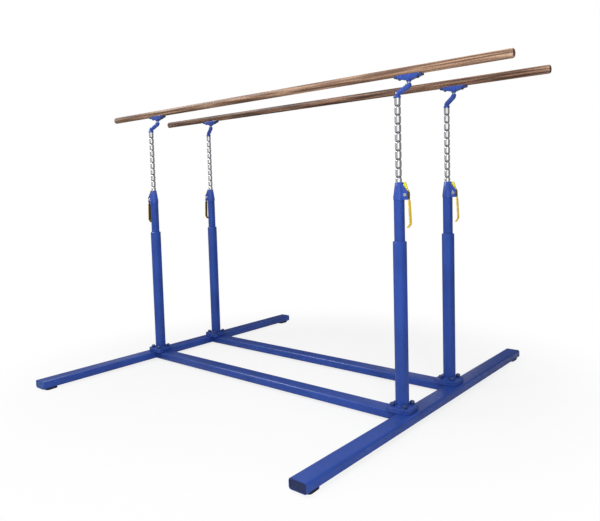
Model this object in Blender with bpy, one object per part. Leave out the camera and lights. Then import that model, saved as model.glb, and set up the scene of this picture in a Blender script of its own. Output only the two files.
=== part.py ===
"""Gymnastics parallel bars, in metres, +Z up, centred on the floor, rails along X.

Two wooden rails stand on four telescopic columns. Each column has a ring-grooved post that a
squeeze lever locks in steps, and a swan-neck arm that swings round the post to set the width.
"""

import math

import bmesh
import bpy
from mathutils import Matrix, Vector

# Clearances
SEAT_GAP = 0.0003
RUNNING_GAP = 0.0005
MERGE_DISTANCE = 0.00001
CUT_OVERRUN = 0.002

# Rails: oval laminated wood
RAIL_LENGTH = 3.500
RAIL_HEIGHT = 0.050
RAIL_WIDTH = 0.040
RAIL_TOP = 2.0455
RAIL_END_ROUNDING = 0.009
RAIL_SIDES = 24
RAIL_ROUNDING_STEPS = 3

# Column positions
COLUMN_SPACING = 2.310
COLUMN_SPREAD = 0.614

# Base frame of rectangular steel tube
BEAM_WIDTH = 0.108
BEAM_HEIGHT = 0.055
BEAM_WALL = 0.003
BEAM_CORNER_RADIUS = 0.014
BEAM_CORNER_STEPS = 3
CROSSBEAM_LENGTH = 2.635
CROSSBEAM_OUTBOARD = 0.050

# End plugs and feet
PLUG_LENGTH = 0.030
PLUG_RECESS = 0.0015
PLUG_EDGE = 0.0015
FOOT_HEIGHT = 0.014
FOOT_WIDTH = 0.090
FOOT_LENGTH = 0.110
FOOT_CORNER_RADIUS = 0.020
FOOT_EDGE = 0.004
FOOT_INSET = 0.004

# Lower tube, welded to its foot flange
FLANGE_SIDE = 0.153
FLANGE_THICKNESS = 0.030
FLANGE_CORNER_RADIUS = 0.036
FLANGE_EDGE = 0.002
WELD_LEG = 0.005
WELD_SINK = 0.004
LOWER_TUBE_RADIUS = 0.040
LOWER_TUBE_WALL = 0.003
LOWER_TUBE_TOP = 1.0635
COLLAR_LENGTH = 0.030
COLLAR_CHAMFER = 0.004

# Upper tube
UPPER_TUBE_RADIUS = 0.031
UPPER_TUBE_WALL = 0.003

# Lock head on the upper tube
HEAD_TOP = 1.4015
HEAD_HEIGHT = 0.103
HEAD_TOP_RADIUS = 0.0216
HEAD_SKIRT_WALL = 0.0018
HEAD_SKIRT_HEIGHT = 0.023
HEAD_TUBE_SOCKET = 0.0137
HEAD_POST_GAP = 0.0006
HEAD_RIM_HEIGHT = 0.010
HEAD_EDGE = 0.0012
CHEEK_THICKNESS = 0.0058
CHEEK_REACH = 0.0638
CHEEK_EDGE = 0.0015

# Guide bush inside the top of the upper tube
BUSH_LENGTH = 0.084
BUSH_FLANGE = 0.003

# Ring-grooved post
POST_RADIUS = 0.018
GROOVE_PITCH = 0.050
GROOVE_DEPTH = 0.0038
GROOVE_FLOOR = 0.006
GROOVE_MOUTH = 0.012
GROOVES_BELOW_LOCK = 1
SPIGOT_RADIUS = 0.0115
SPIGOT_LENGTH = 0.020
SPIGOT_CHAMFER = 0.0015

# Slide foot pushed on the lower end of the post
RAISE_TRAVEL = 0.050
RAISE_MARGIN = 0.005
FOOT_CUP_HEIGHT = 0.040
FOOT_CUP_FLOOR = 0.008
TAIL_RADIUS = 0.0127

# Squeeze lever with its pawl
PIVOT_OUT = 0.0464
PIVOT_ABOVE_HEAD_FOOT = 0.0295
PIVOT_RADIUS = 0.005
LEVER_THICKNESS = 0.0105
LEVER_SIDE_GAP = 0.0036
LEVER_EDGE = 0.0012
HUB_RADIUS = 0.0116
NOSE_ABOVE_PIVOT = 0.0538
NOSE_TIP_HEIGHT = 0.0047
NOSE_ROOT_HEIGHT = 0.0127
NOSE_CLEARANCE = 0.0005
LOCKED_TURN = math.radians(3)
PAWL_TOP = 0.0745
PAWL_TAB_OUT = 0.0443
PAWL_TAB_DEPTH = 0.0058
PAWL_BACK_OUT = 0.0607
PAWL_BACK_HEIGHT = 0.0264
HANDLE_TOP_OUT = 0.0659
HANDLE_TOP_DROP = 0.0232
HANDLE_FOOT_OUT = 0.0728
HANDLE_FOOT_DROP = 0.1656
HANDLE_TIP_OUT = 0.0549
HANDLE_TIP_DROP = 0.1867
HANDLE_THICKNESS = 0.0053
HANDLE_WIDTH = 0.025
HANDLE_WIDTH_DROP = 0.0317
HEX_ACROSS_FLATS = 0.017
HEX_THICKNESS = 0.0065

# Torsion spring round the pivot bolt, which pushes the nose into the groove
SPRING_WIRE = 0.001
SPRING_TURN = math.radians(450)
SPRING_STEPS = 30
SPRING_SIDES = 6
SPRING_LEG_UP = 0.012
SPRING_LEG_OUT = 0.007
SPRING_LEG_IN = 0.014
SPRING_HOOK = 0.004
SPRING_HOLE_RADIUS = 0.002

# Swan-neck arm
ARM_REACH = 0.065
ARM_SWING = math.radians(21)
ARM_RADIUS = 0.0158
ARM_COLLAR_RADIUS = 0.0195
ARM_COLLAR_HEIGHT = 0.0127
ARM_BEND_RADIUS = 0.018
ARM_BEND_STEPS = 4
ARM_SIDES = 16
ARM_STEM_HEIGHT = 0.014
ARM_RISE = 0.0864
ARM_NECK_HEIGHT = 0.012
ARM_NECK_RADIUS = 0.011
ARM_NECK_SLOPE = 0.002
STEM_PIN_RADIUS = 0.0095
STEM_PIN_LENGTH = 0.018

# Saddle under the rail
SADDLE_LENGTH = 0.176
SADDLE_WIDTH = 0.038
SADDLE_TIP_WIDTH = 0.034
SADDLE_TIP_DEPTH = 0.009
SADDLE_BELLY_DEPTH = 0.030
SADDLE_LIP = 0.006
SADDLE_SWEEP = 1.25
SADDLE_STEPS = 6
SADDLE_EDGE = 0.002
SADDLE_BOSS_RADIUS = 0.0145
SADDLE_BOSS_DROP = 0.003

ROUND_SIDES = 24
POST_SIDES = 16
PIN_SIDES = 12
SMOOTH_ANGLE = math.radians(40)

# Worked out from the sizes above
BEAM_FOOT = FOOT_HEIGHT + SEAT_GAP
BEAM_TOP = BEAM_FOOT + BEAM_HEIGHT
COLUMN_X = COLUMN_SPACING / 2
COLUMN_Y = COLUMN_SPREAD / 2
CROSSBEAM_X = COLUMN_X + CROSSBEAM_OUTBOARD
FLANGE_FOOT = BEAM_TOP + SEAT_GAP
FLANGE_TOP = FLANGE_FOOT + FLANGE_THICKNESS
HEAD_FOOT = HEAD_TOP - HEAD_HEIGHT
UPPER_TUBE_TOP = HEAD_FOOT + HEAD_TUBE_SOCKET
UPPER_TUBE_BORE = UPPER_TUBE_RADIUS - UPPER_TUBE_WALL
BUSH_TOP = UPPER_TUBE_TOP + SEAT_GAP + BUSH_FLANGE
BUSH_BOTTOM = UPPER_TUBE_TOP + SEAT_GAP - BUSH_LENGTH
HEAD_SKIRT_RADIUS = UPPER_TUBE_RADIUS + SEAT_GAP + HEAD_SKIRT_WALL
PIVOT_Z = HEAD_FOOT + PIVOT_ABOVE_HEAD_FOOT
SLOT_WIDTH = LEVER_THICKNESS + 2 * LEVER_SIDE_GAP
HEAD_WIDTH = SLOT_WIDTH + 2 * CHEEK_THICKNESS
CUP_TOP = BUSH_BOTTOM - RAISE_TRAVEL - RAISE_MARGIN
CUP_BOTTOM = CUP_TOP - FOOT_CUP_HEIGHT
RAIL_Z = RAIL_TOP - RAIL_HEIGHT / 2
RAIL_BOTTOM = RAIL_TOP - RAIL_HEIGHT
SADDLE_TOP = RAIL_BOTTOM + SADDLE_LIP
SADDLE_FOOT = RAIL_BOTTOM - SEAT_GAP - SADDLE_BELLY_DEPTH
ARM_TOP = SADDLE_FOOT - SADDLE_BOSS_DROP - SEAT_GAP
ARM_FOOT = ARM_TOP - ARM_RISE
POST_SHOULDER = ARM_FOOT - SEAT_GAP
NOSE_TIP = POST_RADIUS + NOSE_CLEARANCE
NOSE_DROP = (PIVOT_OUT - NOSE_TIP) * math.sin(LOCKED_TURN)
LOCK_Z = PIVOT_Z + NOSE_ABOVE_PIVOT * math.cos(LOCKED_TURN) - NOSE_DROP
GROOVES_ABOVE_LOCK = int((POST_SHOULDER - GROOVE_MOUTH - LOCK_Z) / GROOVE_PITCH)

ENDS = {"left": -1, "right": 1}
SIDES = {"near": -1, "far": 1}


def clear_scene():
    for item in list(bpy.data.objects):
        bpy.data.objects.remove(item, do_unlink=True)


def make_material(name, colour, metallic, roughness):
    material = bpy.data.materials.new(name)
    material.use_nodes = True
    shader = material.node_tree.nodes["Principled BSDF"]
    shader.inputs["Base Color"].default_value = (*colour, 1.0)
    shader.inputs["Metallic"].default_value = metallic
    shader.inputs["Roughness"].default_value = roughness
    material.diffuse_color = (*colour, 1.0)
    return material


def finish_mesh(shape, name):
    """Turn a bmesh into a mesh with outward faces, smooth except at its real edges."""
    bmesh.ops.remove_doubles(shape, verts=shape.verts, dist=MERGE_DISTANCE)
    bmesh.ops.recalc_face_normals(shape, faces=shape.faces)
    mesh = bpy.data.meshes.new(name)
    shape.to_mesh(mesh)
    shape.free()
    mesh.shade_smooth()
    mesh.set_sharp_from_angle(angle=SMOOTH_ANGLE)
    return mesh


def turned(name, profile, sides, hollow=False):
    """Spin a profile of (radius, height) points about Z. A hollow profile is a closed outline."""
    shape = bmesh.new()
    points = [shape.verts.new((radius, 0, height)) for radius, height in profile]
    pairs = list(zip(points, points[1:]))
    if hollow:
        pairs.append((points[-1], points[0]))
    edges = [shape.edges.new(pair) for pair in pairs]
    bmesh.ops.spin(
        shape,
        geom=points + edges,
        axis=(0, 0, 1),
        cent=(0, 0, 0),
        angle=2 * math.pi,
        steps=sides,
        use_merge=True,
    )
    return finish_mesh(shape, name)


def plate(name, outline, thickness):
    """Extrude an outline in X and Z to a plate centred on Y = 0."""
    shape = bmesh.new()
    points = [shape.verts.new((x, -thickness / 2, z)) for x, z in outline]
    face = shape.faces.new(points)
    grown = bmesh.ops.extrude_face_region(shape, geom=[face])["geom"]
    moved = [item for item in grown if isinstance(item, bmesh.types.BMVert)]
    bmesh.ops.translate(shape, verts=moved, vec=(0, thickness, 0))
    return finish_mesh(shape, name)


def rounded_face(shape, width, height, radius, steps):
    """One flat face in X and Y with rounded corners."""
    corners = [(-1, -1), (1, -1), (1, 1), (-1, 1)]
    points = [shape.verts.new((x * width / 2, y * height / 2, 0)) for x, y in corners]
    shape.faces.new(points)
    bmesh.ops.bevel(
        shape,
        geom=points,
        offset=radius,
        segments=steps,
        profile=0.5,
        affect="VERTICES",
    )
    shape.faces.ensure_lookup_table()
    return shape.faces[0]


def grow(shape, faces, distance):
    """Extrude faces along Z by a distance, and give the vertices that moved."""
    grown = bmesh.ops.extrude_face_region(shape, geom=faces)["geom"]
    moved = [item for item in grown if isinstance(item, bmesh.types.BMVert)]
    bmesh.ops.translate(shape, verts=moved, vec=(0, 0, distance))
    return moved


def place(name, mesh, material, location, parent=None, turn=0.0):
    piece = bpy.data.objects.new(name, mesh)
    bpy.context.scene.collection.objects.link(piece)
    if not mesh.materials:
        mesh.materials.append(material)
    piece.location = location
    piece.rotation_euler = (0, 0, turn)
    piece.parent = parent
    return piece


def carve(name, base, operations):
    """Join and cut a mesh with others, and give the finished mesh.

    Each operation is (kind, mesh, bevel width); the bevel rounds that mesh's edges first.
    """
    blank = bpy.data.objects.new(name, base)
    bpy.context.scene.collection.objects.link(blank)
    tools = []
    for kind, mesh, bevel_width in operations:
        tool = bpy.data.objects.new(name + "_tool", mesh)
        bpy.context.scene.collection.objects.link(tool)
        tool.hide_render = True
        tool.display_type = "WIRE"
        if bevel_width:
            edge = tool.modifiers.new("edge", "BEVEL")
            edge.width = bevel_width
            edge.segments = 1
            edge.limit_method = "ANGLE"
        change = blank.modifiers.new(kind.lower(), "BOOLEAN")
        change.operation = kind
        change.solver = "EXACT"
        change.object = tool
        tools.append(tool)
    bpy.context.view_layer.update()
    graph = bpy.context.evaluated_depsgraph_get()
    mesh = bpy.data.meshes.new_from_object(blank.evaluated_get(graph))
    for item in [blank, *tools]:
        bpy.data.objects.remove(item, do_unlink=True)
    mesh.name = name
    mesh.shade_smooth()
    mesh.set_sharp_from_angle(angle=SMOOTH_ANGLE)
    return mesh


def bevelled(name, base, width):
    """Give a mesh with its sharp edges broken by one flat."""
    blank = bpy.data.objects.new(name, base)
    bpy.context.scene.collection.objects.link(blank)
    edge = blank.modifiers.new("edge", "BEVEL")
    edge.width = width
    edge.segments = 1
    edge.limit_method = "ANGLE"
    bpy.context.view_layer.update()
    graph = bpy.context.evaluated_depsgraph_get()
    mesh = bpy.data.meshes.new_from_object(blank.evaluated_get(graph))
    bpy.data.objects.remove(blank, do_unlink=True)
    mesh.name = name
    return mesh


def moved_mesh(mesh, matrix):
    mesh.transform(matrix)
    return mesh


def bent_bar(name, points, sides):
    """Round bar along a line of (x, y, z, radius) points, with closed ends."""
    curve = bpy.data.curves.new(name, "CURVE")
    curve.dimensions = "3D"
    curve.bevel_depth = 1.0
    curve.bevel_resolution = (sides - 4) // 2
    curve.use_fill_caps = True
    spline = curve.splines.new("POLY")
    spline.points.add(len(points) - 1)
    for point, (x, y, z, radius) in zip(spline.points, points):
        point.co = (x, y, z, 1)
        point.radius = radius
    bar = bpy.data.objects.new(name, curve)
    bpy.context.scene.collection.objects.link(bar)
    bpy.context.view_layer.update()
    graph = bpy.context.evaluated_depsgraph_get()
    mesh = bpy.data.meshes.new_from_object(bar.evaluated_get(graph))
    bpy.data.objects.remove(bar, do_unlink=True)
    shape = bmesh.new()
    shape.from_mesh(mesh)
    return finish_mesh(shape, name)


def beam_mesh(name, length):
    """Rectangular tube of one wall thickness, open at both ends, centred on the origin along Z."""
    shape = bmesh.new()
    face = rounded_face(shape, BEAM_HEIGHT, BEAM_WIDTH, BEAM_CORNER_RADIUS, BEAM_CORNER_STEPS)
    ring = bmesh.ops.inset_individual(
        shape, faces=[face], thickness=BEAM_WALL, use_even_offset=True
    )["faces"]
    bmesh.ops.delete(shape, geom=[face], context="FACES_ONLY")
    grow(shape, ring, length)
    bmesh.ops.translate(shape, verts=shape.verts, vec=(0, 0, -length / 2))
    return finish_mesh(shape, name)


def rounded_block(name, width, length, radius, height, edge):
    """Upright block on the XY plane with rounded corners and the rim of its top broken."""
    shape = bmesh.new()
    face = rounded_face(shape, width, length, radius, BEAM_CORNER_STEPS)
    moved = set(grow(shape, [face], height))
    rim = [line for line in shape.edges if moved.issuperset(line.verts)]
    bmesh.ops.bevel(shape, geom=rim, offset=edge, segments=1, affect="EDGES")
    return finish_mesh(shape, name)


def plug_mesh():
    """Plastic plug that fills the open end of a crossbeam. Its face is towards +Z."""
    inset = BEAM_WALL + SEAT_GAP
    return rounded_block(
        "beam_plug",
        BEAM_HEIGHT - 2 * inset,
        BEAM_WIDTH - 2 * inset,
        BEAM_CORNER_RADIUS - inset,
        PLUG_LENGTH,
        PLUG_EDGE,
    )


def foot_mesh():
    """Rubber pad, upside down as made, so that the broken rim lies on the floor."""
    mesh = rounded_block(
        "rubber_foot", FOOT_WIDTH, FOOT_LENGTH, FOOT_CORNER_RADIUS, FOOT_HEIGHT, FOOT_EDGE
    )
    flip = Matrix.Translation((0, 0, FOOT_HEIGHT)) @ Matrix.Rotation(math.pi, 4, "X")
    return moved_mesh(mesh, flip)


def flange_mesh():
    mesh = rounded_block(
        "flange", FLANGE_SIDE, FLANGE_SIDE, FLANGE_CORNER_RADIUS, FLANGE_THICKNESS, FLANGE_EDGE
    )
    return moved_mesh(mesh, Matrix.Translation((0, 0, FLANGE_FOOT)))


def lower_tube_mesh():
    """Flange, weld bead, tube and the collar that steadies the upper tube."""
    bore = UPPER_TUBE_RADIUS + SEAT_GAP
    inside = LOWER_TUBE_RADIUS - LOWER_TUBE_WALL
    root = FLANGE_TOP - WELD_SINK
    profile = [
        (bore, LOWER_TUBE_TOP),
        (LOWER_TUBE_RADIUS - COLLAR_CHAMFER, LOWER_TUBE_TOP),
        (LOWER_TUBE_RADIUS, LOWER_TUBE_TOP - COLLAR_CHAMFER),
        (LOWER_TUBE_RADIUS, FLANGE_TOP + WELD_LEG),
        (LOWER_TUBE_RADIUS + WELD_LEG, FLANGE_TOP),
        (LOWER_TUBE_RADIUS + WELD_LEG, root),
        (inside, root),
        (inside, LOWER_TUBE_TOP - COLLAR_LENGTH),
        (bore, LOWER_TUBE_TOP - COLLAR_LENGTH),
    ]
    tube = turned("tube", profile, ROUND_SIDES, hollow=True)
    return carve("lower_tube", flange_mesh(), [("UNION", tube, 0)])


def upper_tube_mesh():
    foot = FLANGE_TOP + SEAT_GAP
    profile = [
        (UPPER_TUBE_BORE, UPPER_TUBE_TOP),
        (UPPER_TUBE_RADIUS, UPPER_TUBE_TOP),
        (UPPER_TUBE_RADIUS, foot),
        (UPPER_TUBE_BORE, foot),
    ]
    return turned("upper_tube", profile, ROUND_SIDES, hollow=True)


def bush_mesh():
    bore = POST_RADIUS + SEAT_GAP
    seat = UPPER_TUBE_TOP + SEAT_GAP
    profile = [
        (bore, BUSH_TOP),
        (UPPER_TUBE_RADIUS, BUSH_TOP),
        (UPPER_TUBE_RADIUS, seat),
        (UPPER_TUBE_BORE - SEAT_GAP, seat),
        (UPPER_TUBE_BORE - SEAT_GAP, BUSH_BOTTOM),
        (bore, BUSH_BOTTOM),
    ]
    return turned("guide_bush", profile, ROUND_SIDES, hollow=True)


def head_shell():
    """Turned outside of the lock head: a skirt over the tube, then a cone up to the rim."""
    profile = [
        (0, HEAD_FOOT),
        (HEAD_SKIRT_RADIUS, HEAD_FOOT),
        (HEAD_SKIRT_RADIUS, HEAD_FOOT + HEAD_SKIRT_HEIGHT),
        (HEAD_TOP_RADIUS, HEAD_TOP - HEAD_EDGE),
        (HEAD_TOP_RADIUS - HEAD_EDGE, HEAD_TOP),
        (0, HEAD_TOP),
    ]
    return turned("head_shell", profile, ROUND_SIDES)


def head_cheeks():
    """Wedge on the outward side that carries the lever, slotted later into two cheeks."""
    shoulder = PIVOT_Z + HUB_RADIUS + CUT_OVERRUN
    outline = [
        (0, HEAD_FOOT + CUT_OVERRUN),
        (CHEEK_REACH - HEAD_SKIRT_WALL, HEAD_FOOT + CUT_OVERRUN),
        (CHEEK_REACH, PIVOT_Z - HUB_RADIUS),
        (CHEEK_REACH, shoulder),
        (CHEEK_REACH - HUB_RADIUS / 2, shoulder + HUB_RADIUS),
        (HEAD_TOP_RADIUS, HEAD_TOP - HEAD_EDGE),
        (0, HEAD_TOP - HEAD_EDGE),
    ]
    return plate("cheeks", outline, HEAD_WIDTH)


def head_bore():
    seat = UPPER_TUBE_RADIUS + SEAT_GAP
    bore = POST_RADIUS + HEAD_POST_GAP
    profile = [
        (0, HEAD_FOOT - CUT_OVERRUN),
        (seat, HEAD_FOOT - CUT_OVERRUN),
        (seat, BUSH_TOP + SEAT_GAP),
        (bore, BUSH_TOP + SEAT_GAP),
        (bore, HEAD_TOP + CUT_OVERRUN),
        (0, HEAD_TOP + CUT_OVERRUN),
    ]
    return turned("head_bore", profile, ROUND_SIDES)


def lever_slot():
    """Slot between the cheeks. The rim above it and the skirt below it stay whole."""
    floor = BUSH_TOP + SEAT_GAP + BUSH_FLANGE
    rim = HEAD_TOP - HEAD_RIM_HEIGHT
    rim_out = HEAD_TOP_RADIUS + HEAD_SKIRT_WALL
    skirt_out = HEAD_SKIRT_RADIUS + CUT_OVERRUN
    far_out = CHEEK_REACH + POST_RADIUS
    outline = [
        (0, floor),
        (skirt_out, floor),
        (skirt_out, HEAD_FOOT - CUT_OVERRUN),
        (far_out, HEAD_FOOT - CUT_OVERRUN),
        (far_out, HEAD_TOP + CUT_OVERRUN),
        (rim_out, HEAD_TOP + CUT_OVERRUN),
        (rim_out, rim),
        (0, rim),
    ]
    return plate("lever_slot", outline, SLOT_WIDTH)


def cross_hole(name, radius, length, x, z, sides):
    """Solid rod along Y, used to bore a hole."""
    half = length / 2
    rod = turned(name, [(0, -half), (radius, -half), (radius, half), (0, half)], sides)
    turn = Matrix.Rotation(math.pi / 2, 4, "X")
    return moved_mesh(rod, Matrix.Translation((x, 0, z)) @ turn)


def lock_head_mesh():
    pin_hole = cross_hole(
        "pin_hole", PIVOT_RADIUS + SEAT_GAP, HEAD_WIDTH * 2, PIVOT_OUT, PIVOT_Z, PIN_SIDES
    )
    return carve(
        "lock_head",
        head_shell(),
        [
            ("UNION", head_cheeks(), CHEEK_EDGE),
            ("DIFFERENCE", lever_slot(), 0),
            ("DIFFERENCE", head_bore(), 0),
            ("DIFFERENCE", pin_hole, 0),
        ],
    )


def arc(centre, radius, start, end, steps):
    """Points on an arc in X and Z, angles in degrees."""
    points = []
    for step in range(steps + 1):
        angle = math.radians(start + (end - start) * step / steps)
        points.append((centre[0] + radius * math.cos(angle), centre[1] + radius * math.sin(angle)))
    return points


def pawl_outline():
    """Side view of the pawl plate about its pivot, with the nose towards the post."""
    nose_x = NOSE_TIP - PIVOT_OUT
    root_x = nose_x + NOSE_ROOT_HEIGHT
    tab_x = PAWL_TAB_OUT - PIVOT_OUT
    back_x = PAWL_BACK_OUT - PIVOT_OUT
    handle_x = HANDLE_TOP_OUT - PIVOT_OUT
    half = HANDLE_THICKNESS / 2
    back = [
        (tab_x - PAWL_TAB_DEPTH, PAWL_TOP),
        (tab_x, PAWL_TOP),
        (back_x, PAWL_BACK_HEIGHT),
        (handle_x + half, -HUB_RADIUS),
        (handle_x + half, -HANDLE_WIDTH_DROP - HANDLE_THICKNESS),
        (handle_x - half, -HANDLE_WIDTH_DROP - HANDLE_THICKNESS),
        (handle_x - half, -HANDLE_TOP_DROP),
    ]
    hub_side = arc((0, 0), HUB_RADIUS, -60, -190, 6)
    nose = [
        (root_x, NOSE_ABOVE_PIVOT - NOSE_ROOT_HEIGHT / 2),
        (nose_x, NOSE_ABOVE_PIVOT - NOSE_TIP_HEIGHT / 2),
        (nose_x, NOSE_ABOVE_PIVOT + NOSE_TIP_HEIGHT / 2),
        (root_x, NOSE_ABOVE_PIVOT + NOSE_ROOT_HEIGHT / 2),
    ]
    return back + hub_side + nose


def handle_outline():
    """Side view of the strap handle, from below the cheeks to its bent tip."""
    top = HANDLE_TOP_OUT - PIVOT_OUT
    foot = HANDLE_FOOT_OUT - PIVOT_OUT
    tip = HANDLE_TIP_OUT - PIVOT_OUT
    path = [
        Vector((top, -HANDLE_WIDTH_DROP)),
        Vector((top + (foot - top) / 3, -(HANDLE_WIDTH_DROP + HANDLE_FOOT_DROP) / 3)),
        Vector((foot, -HANDLE_FOOT_DROP + HANDLE_THICKNESS)),
        Vector((foot - HANDLE_THICKNESS / 2, -HANDLE_FOOT_DROP - HANDLE_THICKNESS / 2)),
        Vector((tip, -HANDLE_TIP_DROP)),
    ]
    return strap(path, HANDLE_THICKNESS)


def strap(path, thickness):
    """Outline of a bent strip: the path moved out to both sides by half the thickness."""
    steps = [(after - before).normalized() for before, after in zip(path, path[1:])]
    before = [steps[0], *steps]
    after = [*steps, steps[-1]]
    left = []
    right = []
    for point, incoming, outgoing in zip(path, before, after):
        middle = (incoming + outgoing).normalized()
        side = Vector((-middle.y, middle.x)) * thickness / 2 / middle.dot(incoming)
        left.append(tuple(point + side))
        right.append(tuple(point - side))
    return left + right[::-1]


def lever_mesh():
    pawl = bevelled("pawl", plate("pawl", pawl_outline(), LEVER_THICKNESS), LEVER_EDGE)
    handle = plate("handle", handle_outline(), HANDLE_WIDTH)
    through = LEVER_THICKNESS * 2
    bore = cross_hole("bore", PIVOT_RADIUS + RUNNING_GAP, through, 0, 0, POST_SIDES)
    hook_hole = cross_hole(
        "hook_hole", SPRING_HOLE_RADIUS, through, SPRING_LEG_OUT, SPRING_LEG_UP, PIN_SIDES
    )
    return carve(
        "lever",
        pawl,
        [("UNION", handle, LEVER_EDGE), ("DIFFERENCE", bore, 0), ("DIFFERENCE", hook_hole, 0)],
    )


def return_spring_mesh():
    """One turn and a quarter of wire beside the lever: a hook in its side and a leg on the head."""
    half = SPRING_WIRE / 2
    beside_lever = LEVER_THICKNESS / 2 + SEAT_GAP + half
    beside_cheek = SLOT_WIDTH / 2 - SEAT_GAP - half
    radius = PIVOT_RADIUS + SEAT_GAP + half
    slot_floor = BUSH_TOP + SEAT_GAP + BUSH_FLANGE - PIVOT_Z
    points = [
        (SPRING_LEG_OUT, beside_lever - SPRING_HOOK, SPRING_LEG_UP, half),
        (SPRING_LEG_OUT, beside_lever, SPRING_LEG_UP, half),
    ]
    for step in range(SPRING_STEPS + 1):
        along = step / SPRING_STEPS
        angle = -SPRING_TURN * along
        y = beside_lever + (beside_cheek - beside_lever) * along
        points.append((radius * math.cos(angle), y, radius * math.sin(angle), half))
    points.append((-SPRING_LEG_IN, beside_cheek, slot_floor + SEAT_GAP + half, half))
    return bent_bar("return_spring", points, SPRING_SIDES)


def hexagon_ring(radius):
    """A hexagon with a point at each corner and at the middle of each flat."""
    points = []
    for step in range(PIN_SIDES):
        reach = radius if step % 2 else radius / math.cos(math.pi / 6)
        angle = 2 * math.pi * step / PIN_SIDES
        points.append((reach * math.cos(angle), reach * math.sin(angle)))
    return points


def pivot_bolt_mesh():
    """Hexagon bolt with its nut, through both cheeks, along Y and centred on the pivot."""
    seat = HEAD_WIDTH / 2 + SEAT_GAP
    end = seat + HEX_THICKNESS
    flats = HEX_ACROSS_FLATS / 2
    ring = [
        (PIVOT_RADIUS * math.cos(2 * math.pi * step / PIN_SIDES),
         PIVOT_RADIUS * math.sin(2 * math.pi * step / PIN_SIDES))
        for step in range(PIN_SIDES)
    ]
    layers = [
        (-end, hexagon_ring(flats)),
        (-seat, hexagon_ring(flats)),
        (-seat, ring),
        (seat, ring),
        (seat, hexagon_ring(flats)),
        (end, hexagon_ring(flats)),
    ]
    shape = bmesh.new()
    loops = [[shape.verts.new((x, level, z)) for x, z in points] for level, points in layers]
    for low, high in zip(loops, loops[1:]):
        for step in range(PIN_SIDES):
            after = (step + 1) % PIN_SIDES
            shape.faces.new((low[step], low[after], high[after], high[step]))
    shape.faces.new(loops[0])
    shape.faces.new(loops[-1])
    return finish_mesh(shape, "pivot_bolt")


def post_mesh():
    """Round bar with a ring groove every pitch, a spigot on top and a tail for the slide foot."""
    floor = POST_RADIUS - GROOVE_DEPTH
    tail = CUP_BOTTOM + FOOT_CUP_FLOOR + SEAT_GAP
    seat = CUP_TOP + SEAT_GAP
    profile = [(0, tail), (TAIL_RADIUS, tail), (TAIL_RADIUS, seat), (POST_RADIUS, seat)]
    for step in range(-GROOVES_BELOW_LOCK, GROOVES_ABOVE_LOCK + 1):
        middle = LOCK_Z + step * GROOVE_PITCH
        profile += [
            (POST_RADIUS, middle - GROOVE_MOUTH / 2),
            (floor, middle - GROOVE_FLOOR / 2),
            (floor, middle + GROOVE_FLOOR / 2),
            (POST_RADIUS, middle + GROOVE_MOUTH / 2),
        ]
    spigot_top = ARM_FOOT + SPIGOT_LENGTH
    profile += [
        (POST_RADIUS, POST_SHOULDER),
        (SPIGOT_RADIUS, POST_SHOULDER),
        (SPIGOT_RADIUS, spigot_top - SPIGOT_CHAMFER),
        (SPIGOT_RADIUS - SPIGOT_CHAMFER, spigot_top),
        (0, spigot_top),
    ]
    return turned("post", profile, POST_SIDES)


def slide_foot_mesh():
    """Plastic cup on the post's tail. It runs in the upper tube and stops under the bush."""
    outside = UPPER_TUBE_BORE - SEAT_GAP
    inside = TAIL_RADIUS + SEAT_GAP
    profile = [
        (0, CUP_BOTTOM),
        (outside, CUP_BOTTOM),
        (outside, CUP_TOP),
        (inside, CUP_TOP),
        (inside, CUP_BOTTOM + FOOT_CUP_FLOOR),
        (0, CUP_BOTTOM + FOOT_CUP_FLOOR),
    ]
    return turned("slide_foot", profile, ROUND_SIDES)


def swan_neck_path():
    """Centre line of the arm in X and Z: up, over, and up again, from the post to the stem."""
    # Two equal bends joined by a straight, found from the reach, the rise and the bend radius
    rise = ARM_RISE - ARM_STEM_HEIGHT - ARM_COLLAR_HEIGHT
    across = ARM_REACH - 2 * ARM_BEND_RADIUS
    bend = math.atan2(across, rise) + math.asin(2 * ARM_BEND_RADIUS / math.hypot(across, rise))
    start = (ARM_BEND_RADIUS, ARM_FOOT + ARM_COLLAR_HEIGHT)
    finish = (ARM_REACH - ARM_BEND_RADIUS, ARM_FOOT + ARM_COLLAR_HEIGHT + rise)
    lower = [
        (start[0] - ARM_BEND_RADIUS * math.cos(bend * step / ARM_BEND_STEPS),
         start[1] + ARM_BEND_RADIUS * math.sin(bend * step / ARM_BEND_STEPS))
        for step in range(ARM_BEND_STEPS + 1)
    ]
    upper = [
        (finish[0] + ARM_BEND_RADIUS * math.cos(bend * step / ARM_BEND_STEPS),
         finish[1] - ARM_BEND_RADIUS * math.sin(bend * step / ARM_BEND_STEPS))
        for step in range(ARM_BEND_STEPS, -1, -1)
    ]
    return lower + upper


def arm_bar():
    """Bent round bar with a collar at its foot, a turned neck near its top, and a pin above it."""
    collar_top = ARM_FOOT + ARM_COLLAR_HEIGHT - CUT_OVERRUN
    points = [(0, 0, ARM_FOOT, ARM_COLLAR_RADIUS), (0, 0, collar_top, ARM_COLLAR_RADIUS)]
    points += [(x, 0, z, ARM_RADIUS) for x, z in swan_neck_path()]
    points += [
        (ARM_REACH, 0, ARM_TOP - ARM_NECK_HEIGHT, ARM_RADIUS),
        (ARM_REACH, 0, ARM_TOP - ARM_NECK_HEIGHT + ARM_NECK_SLOPE, ARM_NECK_RADIUS),
        (ARM_REACH, 0, ARM_TOP, ARM_NECK_RADIUS),
        (ARM_REACH, 0, ARM_TOP + SEAT_GAP, STEM_PIN_RADIUS),
        (ARM_REACH, 0, ARM_TOP + STEM_PIN_LENGTH, STEM_PIN_RADIUS),
    ]
    return bent_bar("arm_bar", points, ARM_SIDES)


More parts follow.
